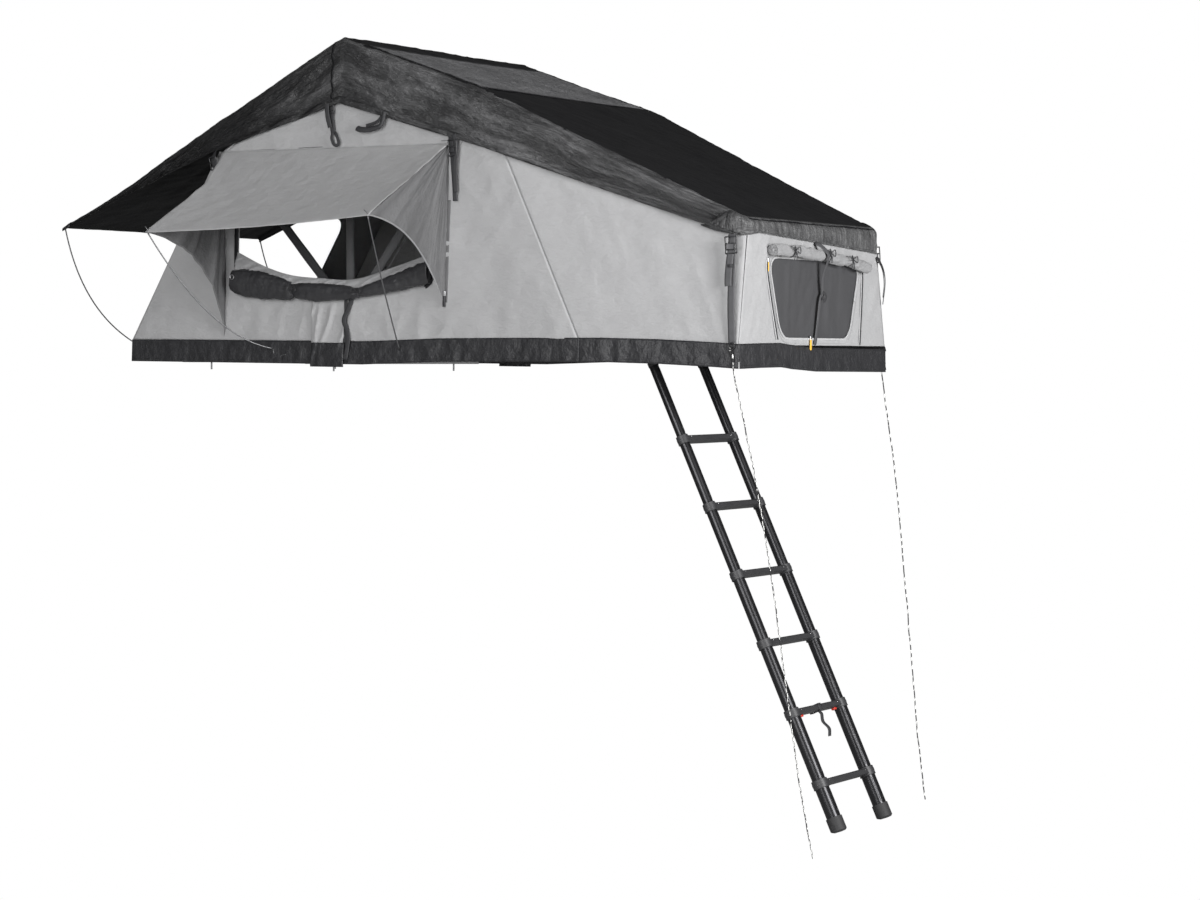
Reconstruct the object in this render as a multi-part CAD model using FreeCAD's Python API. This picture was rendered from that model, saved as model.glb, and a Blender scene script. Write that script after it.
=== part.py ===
# Soft-shell roof top tent with a covered ladder porch, standing open.
# Frame: X is the fold-out direction, Y runs along the fold hinge, Z is up.
# The origin is the centre of the rack stud pattern, under the mounting rails.
# All sizes are millimetres.
import FreeCAD, Part
import math
import os

from FreeCAD import Placement, Rotation, Vector

# Driving dimensions: the folding base
RAIL_HEIGHT = 40.0          # mounting rails under the fixed half
RAIL_WIDTH = 46.0
RAIL_WALL = 3.0
RAIL_LENGTH = 1240.0
RAIL_SPACING = 700.0        # between the two rails
STUD_SPACING = 900.0        # between the two studs in one rail
STUD_R = 4.0
STUD_DROP = 32.0
BASE_REAR = -600.0          # skirt at the fixed end
HINGE_X = 600.0             # fold line of the two panels
BASE_FRONT = 1800.0         # outer end of the folding half
FOLD_GAP = 2.0              # each panel stops this far from the fold line
PANEL_HALF_W = 682.0
PANEL_THICK = 50.0
FRAME_BAR = 32.0            # width of the panel's edge extrusion
FRAME_WALL = 4.0
BOARD_SKIN = 14.0
BOARD_RIBS = 4
RIB_WIDTH = 28.0
MATTRESS_THICK = 50.0
MATTRESS_HALF_W = 600.0
MATTRESS_INSET = 10.0
REAR_INSET = 38.0           # the rear wall slopes in over the mattress
MATTRESS_ROUND = 14.0
MATTRESS_CORNER = 30.0
SKIRT_HALF_W = 700.0
SKIRT_HEIGHT = 100.0
CLOTH = 2.0                 # thickness given to all the cloth

# Driving dimensions: hinge line and hoops
HINGE_Z = 190.0             # axis of the fold, above the mattress
PLATE = 4.0                 # thickness of the hinge plates
PIN_R = 5.0
PIN_GAP = 0.08              # radial clearance of the pins in their bores
RUN_GAP = 0.3               # clearance beside the legs and between the ladder's tubes
SEAT = 0.3                  # what lies on something is this far off it
TUBE_R = 9.5
TUBE_WALL = 1.5
EYE_R = 14.0
BEND_R = 60.0
HOOP_REAR_LEN = 1009.0
HOOP_REAR_TILT = -43.4      # degrees from upright, towards the ladder is plus
HOOP_REAR_Y = 625.0
HOOP_CENTRE_LEN = 1185.0
HOOP_CENTRE_TILT = -1.2
HOOP_CENTRE_Y = 650.0
HOOP_FRONT_LEN = 1166.0
HOOP_FRONT_TILT = 36.85
HOOP_FRONT_Y = 671.0
END_PIVOT_X = BASE_FRONT + 35.0     # pivot of the porch hoop, past the panel's end
END_PIVOT_Z = 160.5
END_HOOP_LEN = 768.6
END_HOOP_TILT = 56.92

# Driving dimensions: porch and canvas
PORCH_X = 2497.0            # bottom of the end wall
PORCH_HALF_W = 628.0
PORCH_TOP_HALF_W = 549.0
END_HOOP_Y = PORCH_TOP_HALF_W - 4.0
PORCH_TOP_X = 2488.0
WALL_FOOT_Y = 697.0         # inner face of the side walls at the skirt
WALL_LEAN = 0.0105          # how far the side walls lean in per mm of height
WINDOW_X0 = 14.0
WINDOW_X1 = 1053.0
WINDOW_Z0 = 340.0
WINDOW_Z1 = 650.0
WINDOW_ROUND = 60.0
DOOR_HALF_W = 388.0         # mesh window in the end wall, narrower at its foot
DOOR_FOOT_HALF_W = 292.0
DOOR_Z0 = 130.0
DOOR_Z1 = 450.0
DOOR_ROUND = 70.0
REAR_WINDOW_HALF_W = 400.0  # open window in the rear wall
REAR_WINDOW_Z0 = 360.0
REAR_WINDOW_Z1 = 680.0
ROLL_R = 21.0               # mesh and flap of an open window, rolled up together
DOOR_ROLL_R = 24.0          # rolled storm flap of the end window

# Driving dimensions: awnings, rods and ropes
AWNING_X0 = -73.0
AWNING_X1 = 1143.0
AWNING_TOP_Z = 925.0
AWNING_REACH = 505.0
AWNING_DROP = 345.0
AWNING_TWIST = 26.0         # one outer corner hangs this much lower than the middle
AWNING_OUT_X0 = -76.0
AWNING_OUT_X1 = 1110.0
GUSSET_LEFT = (-62.0, 122.0)    # x and z where the gussets' hems reach the wall
GUSSET_RIGHT = (1130.0, 250.0)
GUSSET_HOLLOW = 95.0        # how far the gusset's free edge curves inwards
ROD_R = 3.0
ROD_FOOT_Z = 66.0
ROD_LEFT_X = 215.0
ROD_RIGHT_X = 899.0
ROD_BOW = 100.0
REAR_ROD_BOW = 54.0
FLY_TIP_X = -1030.0
FLY_TIP_Z = 605.0
ROPE_R = 2.5
BEAD_R = 2.5                # piping sewn along each awning's seam

# Driving dimensions: telescopic ladder
LADDER_LEAN = 25.8          # degrees from upright
LADDER_PIVOT_X = BASE_FRONT + 33.5
LADDER_PIVOT_Z = 35.0
LADDER_HALF_W = 202.0
SECTION_COUNT = 7
TOP_TUBE_R = 20.0
RAIL_TUBE_WALL = 1.3
FIRST_RUNG = 367.0          # from the pivot, along the ladder
RUNG_SPACING = 305.0
TUBE_OVERLAP = 45.0
LADDER_LEN = 2098.0
COLLAR_HEIGHT = 36.0
COLLAR_WALL = 4.2
COLLAR_BAND = 1.0           # a raised band round the middle of each collar
STEP_DEPTH = 46.0
STEP_HEIGHT = 26.0
FOOT_HEIGHT = 62.0
FOOT_WALL = 4.5

HINGE = Vector(HINGE_X, 0, HINGE_Z)
PANEL_TOP = RAIL_HEIGHT + PANEL_THICK
BED_TOP = PANEL_TOP + MATTRESS_THICK
Y_AXIS = Vector(0, 1, 0)
Z_AXIS = Vector(0, 0, 1)


def save(name, *shapes):
    """Write one sub-part; several shapes stay separate solids."""
    solids = [s for shape in shapes for s in shape.Solids]
    whole = solids[0] if len(solids) == 1 else Part.makeCompound(solids)
    whole.exportStep("parts/" + name + ".step")
    print(name, len(solids), "solids", round(sum(s.Volume for s in solids) / 1000), "cm3")


def box(x0, x1, y0, y1, z0, z1):
    return Part.makeBox(x1 - x0, y1 - y0, z1 - z0, Vector(x0, y0, z0))


def mirrored(shape):
    """The same shape on the other side of the tent."""
    return shape.mirror(Vector(0, 0, 0), Y_AXIS)


def both_sides(shape):
    return [shape, mirrored(shape)]


def prism(points, push):
    """A closed outline of points, pushed along a vector."""
    return Part.Face(Part.makePolygon(points + [points[0]])).extrude(push)


def rod_y(x, z, radius, y0, y1):
    """A round bar along Y."""
    return Part.makeCylinder(radius, y1 - y0, Vector(x, y0, z), Y_AXIS)


def rounded_outline(u0, u1, v0, v1, radius):
    """A rectangle with four round corners as (u, v) arcs and lines."""
    k = radius * (1 - math.sqrt(0.5))
    corners = [
        ((u0 + radius, v0), (u0 + k, v0 + k), (u0, v0 + radius)),
        ((u0, v1 - radius), (u0 + k, v1 - k), (u0 + radius, v1)),
        ((u1 - radius, v1), (u1 - k, v1 - k), (u1, v1 - radius)),
        ((u1, v0 + radius), (u1 - k, v0 + k), (u1 - radius, v0)),
    ]
    return corners


def rounded_hole(corners, place, push):
    """A rounded rectangle, placed by a function of (u, v) and pushed to a solid."""
    edges = []
    for i, corner in enumerate(corners):
        a, m, b = [place(*p) for p in corner]
        edges.append(Part.Arc(a, m, b).toShape())
        after = place(*corners[(i + 1) % 4][0])
        edges.append(Part.makeLine(b, after))
    return Part.Face(Part.Wire(edges)).extrude(push)


# The fixed half

def mount_rails():
    """Two lipped channels, open downwards, that the rack's studs slide along."""
    h, w, t, lip = RAIL_HEIGHT, RAIL_WIDTH / 2, RAIL_WALL, 9.0
    outline = [(-w, 0), (-w, h), (w, h), (w, 0), (lip, 0), (lip, t),
               (w - t, t), (w - t, h - t), (t - w, h - t), (t - w, t), (-lip, t), (-lip, 0)]
    rails = []
    for side in (-1, 1):
        x = side * RAIL_SPACING / 2
        points = [Vector(x + u, -RAIL_LENGTH / 2, v) for u, v in outline]
        rails.append(prism(points, Vector(0, RAIL_LENGTH, 0)))
    return rails


def rack_bolts():
    """Square-headed studs whose heads sit on the lips inside the rails."""
    bolts = []
    for sx in (-1, 1):
        for sy in (-1, 1):
            x, y = sx * RAIL_SPACING / 2, sy * STUD_SPACING / 2
            head = box(x - 14, x + 14, y - 14, y + 14, RAIL_WALL, RAIL_WALL + 6)
            neck = Part.makeCylinder(STUD_R, STUD_DROP + RAIL_WALL, Vector(x, y, -STUD_DROP))
            bolts.append(head.fuse(neck).removeSplitter())
    return bolts


def panel_frame(x0, x1):
    """Channel extrusion round one base panel; the skirt is keyed into its open side."""
    outer = box(x0, x1, -PANEL_HALF_W, PANEL_HALF_W, RAIL_HEIGHT, PANEL_TOP)
    inner = box(x0 + FRAME_BAR, x1 - FRAME_BAR, FRAME_BAR - PANEL_HALF_W,
                PANEL_HALF_W - FRAME_BAR, RAIL_HEIGHT, PANEL_TOP)
    frame = outer.cut(inner)
    upright = [e for e in frame.Edges
               if abs(e.tangentAt(e.FirstParameter).z) > 0.99
               and abs(abs(e.CenterOfMass.y) - PANEL_HALF_W) < 1]
    frame = frame.makeFillet(8.0, upright)
    z0, z1 = RAIL_HEIGHT + FRAME_WALL, PANEL_TOP - FRAME_WALL
    web = FRAME_BAR - FRAME_WALL
    trough = box(x0, x1, -PANEL_HALF_W, PANEL_HALF_W, z0, z1)
    core = box(x0 + web, x1 - web, web - PANEL_HALF_W, PANEL_HALF_W - web, z0, z1)
    return frame.cut(trough.cut(core))


def panel_board(x0, x1):
    """The floor board that fills the frame; ribs under it stiffen it."""
    inset = FRAME_BAR
    board = box(x0 + inset, x1 - inset, inset - PANEL_HALF_W, PANEL_HALF_W - inset,
                PANEL_TOP - BOARD_SKIN, PANEL_TOP)
    pitch = (x1 - x0 - 2 * inset) / (BOARD_RIBS + 1)
    for i in range(1, BOARD_RIBS + 1):
        x = x0 + inset + i * pitch
        rib = box(x - RIB_WIDTH / 2, x + RIB_WIDTH / 2, inset - PANEL_HALF_W, PANEL_HALF_W - inset,
                  RAIL_HEIGHT, PANEL_TOP - BOARD_SKIN)
        board = board.fuse(rib)
    return board.removeSplitter()


def mattress(x0, x1):
    pad = box(x0, x1, -MATTRESS_HALF_W, MATTRESS_HALF_W, PANEL_TOP, BED_TOP)
    corners = [e for e in pad.Edges if abs(e.tangentAt(e.FirstParameter).z) > 0.99]
    pad = pad.makeFillet(MATTRESS_CORNER, corners)
    rims = [e for e in pad.Edges if abs(e.tangentAt(e.FirstParameter).z) < 0.01]
    return pad.makeChamfer(MATTRESS_ROUND, rims)


KEDER_Z = PANEL_TOP - FRAME_WALL - SEAT - CLOTH


def skirt_side(x0, x1, keder_x0):
    """One long side of the black skirt band, with the keder that holds it in the frame."""
    outline = [Vector(x0, SKIRT_HALF_W - CLOTH, SKIRT_HEIGHT), Vector(x0, SKIRT_HALF_W, SKIRT_HEIGHT),
               Vector(x0, SKIRT_HALF_W + 3, 0), Vector(x0, SKIRT_HALF_W + 3 - CLOTH, 0)]
    band = prism(outline, Vector(x1 - x0, 0, 0))
    keder = box(keder_x0, x1 - 4, PANEL_HALF_W - 4, SKIRT_HALF_W - 1, KEDER_Z, KEDER_Z + CLOTH)
    return band.fuse(keder).removeSplitter()


def inner_skirt():
    """Two sides and the rear end, three straight lengths sewn at the corners."""
    side = skirt_side(BASE_REAR, HINGE_X - FOLD_GAP, BASE_REAR + 4)
    end = box(BASE_REAR - CLOTH, BASE_REAR, -SKIRT_HALF_W - 3, SKIRT_HALF_W + 3, 0, SKIRT_HEIGHT)
    keder = box(BASE_REAR - 1, BASE_REAR + 7, FRAME_BAR - PANEL_HALF_W, PANEL_HALF_W - FRAME_BAR,
                KEDER_Z, KEDER_Z + CLOTH)
    end = end.fuse(keder).removeSplitter()
    return both_sides(side) + [end]


def hinge_plate(outline, y_in, bore_r):
    """A steel side plate with round shoulders and the bore of the fold pin."""
    points = [Vector(x, y_in, z) for x, z in outline]
    plate = prism(points, Vector(0, PLATE, 0))
    plate = plate.fuse(rod_y(HINGE_X, HINGE_Z, EYE_R + 4, y_in, y_in + PLATE))
    return plate.cut(rod_y(HINGE_X, HINGE_Z, bore_r, y_in - 1, y_in + PLATE + 1))


INNER_PLATE_Y = MATTRESS_HALF_W + 5.0
OUTER_PLATE_Y = PANEL_HALF_W + 1.0


def hinge_plate_inner():
    """Stands on the fixed panel beside the mattress, with a foot flange."""
    outline = [(HINGE_X - 100, PANEL_TOP), (HINGE_X - 3, PANEL_TOP),
               (HINGE_X + 12, HINGE_Z - 12), (HINGE_X - 18, HINGE_Z + 8)]
    plate = hinge_plate(outline, INNER_PLATE_Y, PIN_R)
    foot = box(HINGE_X - 100, HINGE_X - 6, INNER_PLATE_Y, INNER_PLATE_Y + 40,
               PANEL_TOP, PANEL_TOP + PLATE)
    return plate.fuse(foot).removeSplitter()


def hinge_plate_outer():
    """Bolted to the side of the folding panel, outside all the hoop legs."""
    outline = [(HINGE_X + 6, RAIL_HEIGHT + 6), (HINGE_X + 110, RAIL_HEIGHT + 6),
               (HINGE_X + 110, PANEL_TOP), (HINGE_X + 18, HINGE_Z + 4), (HINGE_X - 10, HINGE_Z - 14)]
    plate = hinge_plate(outline, OUTER_PLATE_Y, PIN_R + PIN_GAP)
    for dx in (40, 90):
        bolt = rod_y(HINGE_X + dx, PANEL_TOP - 24, 6.5, OUTER_PLATE_Y + PLATE, OUTER_PLATE_Y + PLATE + 4)
        plate = plate.fuse(bolt)
    return plate


def hinge_pin():
    """Fold pin with its head, nut and the sleeves that space the hoop legs."""
    y0 = INNER_PLATE_Y - 6
    y1 = OUTER_PLATE_Y + PLATE + 6
    pin = rod_y(HINGE_X, HINGE_Z, PIN_R, y0, y1)
    head = rod_y(HINGE_X, HINGE_Z, PIN_R + 4, OUTER_PLATE_Y + PLATE + RUN_GAP, y1)
    nut = rod_y(HINGE_X, HINGE_Z, PIN_R + 4, y0, INNER_PLATE_Y)
    pin = pin.fuse([head, nut])
    legs = [HOOP_REAR_Y, HOOP_CENTRE_Y, HOOP_FRONT_Y]
    starts = [INNER_PLATE_Y + PLATE] + [y + TUBE_R + RUN_GAP for y in legs]
    ends = [y - TUBE_R - RUN_GAP for y in legs] + [OUTER_PLATE_Y - RUN_GAP]
    for a, b in zip(starts, ends):
        if b - a > 0.5:
            pin = pin.fuse(rod_y(HINGE_X, HINGE_Z, PIN_R + 3, a, b))
    return pin.removeSplitter()


def fold_flap():
    """Cloth flap that covers the fold on the outside of the wall."""
    x0, x1 = 430.0, HINGE_X - FOLD_GAP - 6
    y = SKIRT_HALF_W + 3 + SEAT
    return box(x0, x1, y, y + CLOTH, 2, 270)


# The hoops

def hoop(length, half_w, pivot, tilt):
    """A bent tube hoop with flattened eyes, turned about its pivot."""
    def path(shrink):
        a = Vector(0, -half_w, 6)
        b = Vector(0, -half_w, length - BEND_R)
        k = BEND_R * (1 - math.sqrt(0.5))
        m1 = Vector(0, -half_w + k, length - k)
        c = Vector(0, -half_w + BEND_R, length)
        d, e = Vector(0, -c.y, length), Vector(0, half_w, length - BEND_R)
        m2 = Vector(0, -m1.y, m1.z)
        f = Vector(0, half_w, 6)
        edges = [Part.makeLine(a, b), Part.Arc(b, m1, c).toShape(), Part.makeLine(c, d),
                 Part.Arc(d, m2, e).toShape(), Part.makeLine(e, f)]
        ring = Part.Wire([Part.makeCircle(TUBE_R - shrink, a, Z_AXIS)])
        return Part.Wire(edges).makePipeShell([ring], True, False)

    tube = path(0).cut(path(TUBE_WALL))
    shape = tube
    for side in (-1, 1):
        y = side * half_w
        eye = rod_y(0, 0, EYE_R, y - TUBE_R, y + TUBE_R)
        shape = shape.fuse(eye)
    for side in (-1, 1):
        y = side * half_w
        shape = shape.cut(rod_y(0, 0, PIN_R + PIN_GAP, y - TUBE_R - 1, y + TUBE_R + 1))
    shape = shape.removeSplitter()
    shape.Placement = Placement(pivot, Rotation(Y_AXIS, tilt))
    return shape


def end_brackets():
    """U brackets with their pins, on the outer end of the folding panel."""
    out = []
    z = END_PIVOT_Z
    gap = TUBE_R + RUN_GAP
    for side in (-1, 1):
        y = side * END_HOOP_Y
        base = box(BASE_FRONT - 2, BASE_FRONT + 2, y - gap - PLATE, y + gap + PLATE,
                   RAIL_HEIGHT + 4, PANEL_TOP + 14)
        shape = base
        for s in (-1, 1):
            y_in = y + s * gap
            lo, hi = min(y_in, y_in + s * PLATE), max(y_in, y_in + s * PLATE)
            points = [Vector(BASE_FRONT - 2, lo, RAIL_HEIGHT + 4),
                      Vector(BASE_FRONT + 2, lo, RAIL_HEIGHT + 4),
                      Vector(END_PIVOT_X + 13, lo, z - 14), Vector(END_PIVOT_X + 13, lo, z + 10),
                      Vector(END_PIVOT_X - 13, lo, z + 10), Vector(BASE_FRONT - 2, lo, PANEL_TOP + 14)]
            shape = shape.fuse(prism(points, Vector(0, hi - lo, 0)))
        pin = rod_y(END_PIVOT_X, z, PIN_R, y - gap - PLATE - 5, y + gap + PLATE + 5)
        shape = shape.fuse(pin).removeSplitter()
        out.append(shape)
    return out


# The ladder, built straight down from its pivot and then leaned out

def lean(shape):
    shape.Placement = Placement(Vector(LADDER_PIVOT_X, 0, LADDER_PIVOT_Z),
                                Rotation(Y_AXIS, -LADDER_LEAN)).multiply(shape.Placement)
    return shape


def tube_radius(section):
    """Each section slides over the one above it."""
    return TOP_TUBE_R + (section - 1) * (RAIL_TUBE_WALL + RUN_GAP)


def rung_depth(section):
    """Distance of a section's rung from the pivot; the top section has none."""
    return FIRST_RUNG + (section - 2) * RUNG_SPACING


def upright(y, radius, top, bottom):
    return Part.makeCylinder(radius, bottom - top, Vector(0, y, -bottom))


def ladder_tubes(section):
    radius = tube_radius(section)
    top = 30.0 if section == 1 else rung_depth(section) - COLLAR_HEIGHT / 2 + 5
    last = section == SECTION_COUNT
    bottom = LADDER_LEN - 8 if last else rung_depth(section + 1) + TUBE_OVERLAP
    tubes = []
    for y in (-LADDER_HALF_W, LADDER_HALF_W):
        tube = upright(y, radius, top, bottom)
        tube = tube.cut(upright(y, radius - RAIL_TUBE_WALL, top - 1, bottom + 1))
        tubes.append(lean(tube))
    return tubes


HANGER_HALF_W = LADDER_HALF_W + TOP_TUBE_R + 4


def ladder_hanger():
    """Top bar of the ladder: two plugs, a cross tube and lugs round the pivot bolt."""
    shape = rod_y(0, 0, 13.0, -HANGER_HALF_W, HANGER_HALF_W)
    for y in (-LADDER_HALF_W, LADDER_HALF_W):
        shape = shape.fuse(upright(y, TOP_TUBE_R + 2, 12, 30))
        shape = shape.fuse(upright(y, TOP_TUBE_R - RAIL_TUBE_WALL, 30, 60))
        shape = shape.fuse(upright(y, 12.0, 0, 20))
    shape = shape.cut(rod_y(0, 0, PIN_R + PIN_GAP, -HANGER_HALF_W - 1, HANGER_HALF_W + 1))
    return lean(shape.removeSplitter())


def ladder_rung(section):
    """A moulded step whose two collars hold the top of their section's tubes."""
    depth = rung_depth(section)
    radius = tube_radius(section)
    top, bottom = depth - COLLAR_HEIGHT / 2, depth + COLLAR_HEIGHT / 2
    half_h, half_d = STEP_HEIGHT / 2, STEP_DEPTH / 2
    outline = [(-half_d, 3 - half_h), (-half_d, half_h - 5), (5 - half_d, half_h),
               (half_d - 5, half_h), (half_d, half_h - 5), (half_d, 3 - half_h),
               (half_d - 9, -half_h), (9 - half_d, -half_h)]
    points = [Vector(u, -LADDER_HALF_W, v - depth) for u, v in outline]
    shape = prism(points, Vector(0, 2 * LADDER_HALF_W, 0))
    for y in (-LADDER_HALF_W, LADDER_HALF_W):
        collar = upright(y, radius + COLLAR_WALL, top, bottom)
        rim = [e for e in collar.Edges if e.Closed]
        collar = collar.makeChamfer(1.6, rim)
        band = upright(y, radius + COLLAR_WALL + COLLAR_BAND, depth - 5, depth + 5)
        shape = shape.fuse([collar, band])
    for y in (-LADDER_HALF_W, LADDER_HALF_W):
        shape = shape.cut(upright(y, radius, top + 5, bottom + 1))
        shape = shape.cut(upright(y, radius - RAIL_TUBE_WALL, top - 1, bottom))
    groove_count = 5
    for i in range(groove_count):
        u = (i - (groove_count - 1) / 2) * 7.0
        groove = box(u - 1, u + 1, -LADDER_HALF_W + radius + 16, LADDER_HALF_W - radius - 16,
                     half_h - depth - 1, half_h - depth + 1)
        shape = shape.cut(groove)
    return lean(shape.removeSplitter())


def ladder_feet():
    """Rubber caps with a wider boot and two side bosses."""
    radius = tube_radius(SECTION_COUNT)
    feet = []
    for y in (-LADDER_HALF_W, LADDER_HALF_W):
        boot = upright(y, radius + FOOT_WALL, LADDER_LEN - FOOT_HEIGHT, LADDER_LEN)
        low = [e for e in boot.Edges if e.Closed and abs(e.CenterOfMass.z + LADDER_LEN) < 1]
        boot = boot.makeChamfer(6.0, low)
        side = 1 if y > 0 else -1
        boss = rod_y(0, 0, 9.0, 0, 6)
        boss.translate(Vector(0, y + side * (radius + FOOT_WALL) - 3, 24 - LADDER_LEN))
        boot = boot.fuse(boss).cut(upright(y, radius, 0, LADDER_LEN - 8))
        feet.append(lean(boot.removeSplitter()))
    return feet


def ladder_button(side):
    """Thumb button under the last rung but one; it travels along the step."""
    section = SECTION_COUNT - 1
    y = side * (LADDER_HALF_W - tube_radius(section) - COLLAR_WALL - 26)
    z = -rung_depth(section) - STEP_HEIGHT / 2 - RUN_GAP
    cap = box(-8, 8, y - 11, y + 11, z - 9, z)
    return lean(cap.makeChamfer(2.0, cap.Edges))


def ladder_strap():
    """Hook-and-loop strap hanging from the last rung but one."""
    section = SECTION_COUNT - 1
    depth = rung_depth(section)
    half = STEP_DEPTH / 2 + RUN_GAP
    loop = box(-half - CLOTH, half + CLOTH, -12, 12, -depth - STEP_HEIGHT / 2 - CLOTH - RUN_GAP,
               -depth + STEP_HEIGHT / 2 + CLOTH + RUN_GAP)
    loop = loop.cut(box(-half, half, -13, 13, -depth - STEP_HEIGHT / 2 - RUN_GAP,
                        -depth + STEP_HEIGHT / 2 + RUN_GAP))
    tail = box(-8, -8 + CLOTH, -12, 12, -depth - 125, -depth - STEP_HEIGHT / 2 - RUN_GAP - 1)
    return lean(loop.fuse(tail).removeSplitter())


def ladder_bracket():
    """Channel on the outer panel's end, with the bolt that the ladder hangs on."""
    wide = HANGER_HALF_W + RUN_GAP
    low = LADDER_PIVOT_Z + 20
    x0 = BASE_FRONT - 2
    back = box(x0, x0 + PLATE, -wide - PLATE, wide + PLATE, low, PANEL_TOP - 4)
    shape = back
    for s in (-1, 1):
        y_in = s * wide
        lo, hi = min(y_in, y_in + s * PLATE), max(y_in, y_in + s * PLATE)
        ear = prism([Vector(x0, lo, LADDER_PIVOT_Z + 8), Vector(x0, lo, PANEL_TOP - 4),
                     Vector(LADDER_PIVOT_X + 8, lo, LADDER_PIVOT_Z + 13),
                     Vector(LADDER_PIVOT_X - 8, lo, LADDER_PIVOT_Z - 13)], Vector(0, hi - lo, 0))
        ear = ear.fuse(rod_y(LADDER_PIVOT_X, LADDER_PIVOT_Z, 16, lo, hi))
        shape = shape.fuse(ear)
    bolt = rod_y(LADDER_PIVOT_X, LADDER_PIVOT_Z, PIN_R, -wide - PLATE - 8, wide + PLATE + 8)
    shape = shape.fuse(bolt)
    for s in (-1, 1):
        y = s * (wide + PLATE)
        shape = shape.fuse(rod_y(LADDER_PIVOT_X, LADDER_PIVOT_Z, 9, min(y, y + s * 7), max(y, y + s * 7)))
    return shape.removeSplitter()


# The canvas

def wall_y(z):
    """Inner face of a side wall at height z."""
    return WALL_FOOT_Y - WALL_LEAN * (z - SKIRT_HEIGHT)


def hoop_tip(length, tilt, pivot, stand=0.0):
    """Centre of a hoop's cross tube, or a point further out along its leg."""
    a = math.radians(tilt)
    r = length + stand
    return pivot.x + r * math.sin(a), pivot.z + r * math.cos(a)


CANVAS_STAND = TUBE_R + 2.0
REAR_TOP = hoop_tip(HOOP_REAR_LEN, HOOP_REAR_TILT, HINGE, CANVAS_STAND)
CENTRE_TOP = hoop_tip(HOOP_CENTRE_LEN, HOOP_CENTRE_TILT, HINGE, CANVAS_STAND)
FRONT_TOP = hoop_tip(HOOP_FRONT_LEN, HOOP_FRONT_TILT, HINGE, CANVAS_STAND)
END_PIVOT = Vector(END_PIVOT_X, 0, END_PIVOT_Z)
END_TOP = hoop_tip(END_HOOP_LEN, END_HOOP_TILT, END_PIVOT, CANVAS_STAND)


SHOULDER = 24.0     # the roof canvas turns down over its edges by this bevel
SHOULDER_LEG = 6.0
WALL_DROP = SHOULDER + SHOULDER_LEG + 1.0


def side_wall():
    """Near or far wall over the base, with its window opening."""
    foot = SKIRT_HEIGHT + 1
    rear_z = REAR_TOP[1] - WALL_DROP
    tops = [(x, z - WALL_DROP) for x, z in (REAR_TOP, CENTRE_TOP, FRONT_TOP)]
    outline = [(BASE_REAR, foot), (rear_wall_x(rear_z), rear_z)] + tops + [(BASE_FRONT, foot)]
    points = [Vector(x, wall_y(z), z) for x, z in outline]
    wall = prism(points, Vector(0, CLOTH, 0))
    corners = rounded_outline(WINDOW_X0, WINDOW_X1, WINDOW_Z0, WINDOW_Z1, WINDOW_ROUND)
    hole = rounded_hole(corners, lambda u, v: Vector(u, SKIRT_HALF_W - 40, v), Vector(0, 60, 0))
    return wall.cut(hole)


def folded_sheet(sections, bevel):
    """A sheet over many sections, each an upside-down U with bevelled shoulders."""
    spans = []
    for a, b in zip(sections, sections[1:]):
        wires = []
        for section in (a, b):
            ring = sheet_section(*section, 0.0, bevel) + sheet_section(*section, CLOTH, bevel)[::-1]
            wires.append(Part.makePolygon(ring + [ring[0]]))
        spans.append(Part.makeLoft(wires, True, True))
    return spans[0].fuse(spans[1:]).removeSplitter()


def sheet_section(x, top, w_top, w_hem, hem, shrink, bevel):
    """The U at one station; shrink gives the inner face of the cloth."""
    drop = min(bevel, (top - hem) * 0.6)
    w, t = w_top - shrink, top - shrink
    return [Vector(x, -w_hem + shrink, hem), Vector(x, -w, t - drop), Vector(x, drop - w, t),
            Vector(x, w - drop, t), Vector(x, w, t - drop), Vector(x, w_hem - shrink, hem)]


def porch_corners(foot):
    """Foot and top of the slanting seam, then of the porch's outer edge."""
    seam_z = FRONT_TOP[1] - WALL_DROP
    end_z = END_TOP[1] - WALL_DROP
    return (Vector(BASE_FRONT + 1, wall_y(foot), foot),
            Vector(FRONT_TOP[0] + 1, wall_y(seam_z), seam_z),
            Vector(PORCH_X - 1, PORCH_HALF_W - CLOTH, foot),
            Vector(PORCH_TOP_X - 3, PORCH_TOP_HALF_W, end_z))


def porch_wall_y(x, z):
    """Inner face of the twisted porch wall at one place."""
    a, b, c, d = porch_corners(SKIRT_HEIGHT + 1)
    low, high = 0.0, 1.2
    for _ in range(40):
        t = (low + high) / 2
        p, q = a + (b - a) * t, c + (d - c) * t
        along = (x - p.x) / (q.x - p.x)
        if p.z + (q.z - p.z) * along < z:
            low = t
        else:
            high = t
    return p.y + (q.y - p.y) * along


def porch_wall():
    """Side wall of the porch: a twisted sheet from the slanting seam to the end wall."""
    foot = SKIRT_HEIGHT + 1
    seam_foot, seam_top, end_foot, end_top = porch_corners(foot)
    sheet = Part.makeRuledSurface(Part.makeLine(seam_foot, seam_top), Part.makeLine(end_foot, end_top))
    return sheet.extrude(Vector(0, CLOTH, 0))


def roof_canvas():
    """Grey inner roof over the hoops, from the rear hoop to the porch hoop."""
    stations = [(REAR_TOP, wall_y(REAR_TOP[1])), (CENTRE_TOP, wall_y(CENTRE_TOP[1])),
                (FRONT_TOP, wall_y(FRONT_TOP[1])), (END_TOP, PORCH_TOP_HALF_W)]
    sections = []
    for (x, z), w in stations:
        top, half = z + CLOTH + 0.5, w + CLOTH
        sections.append((x, top, half, half, top - SHOULDER - SHOULDER_LEG))
    return folded_sheet(sections, SHOULDER)


def rear_wall_x(z):
    """Outer face of the rear wall at height z."""
    foot = SKIRT_HEIGHT + 1
    x1, z1 = REAR_TOP[0] - 4, REAR_TOP[1] - 4
    return BASE_REAR + (x1 - BASE_REAR) * (z - foot) / (z1 - foot)


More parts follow.
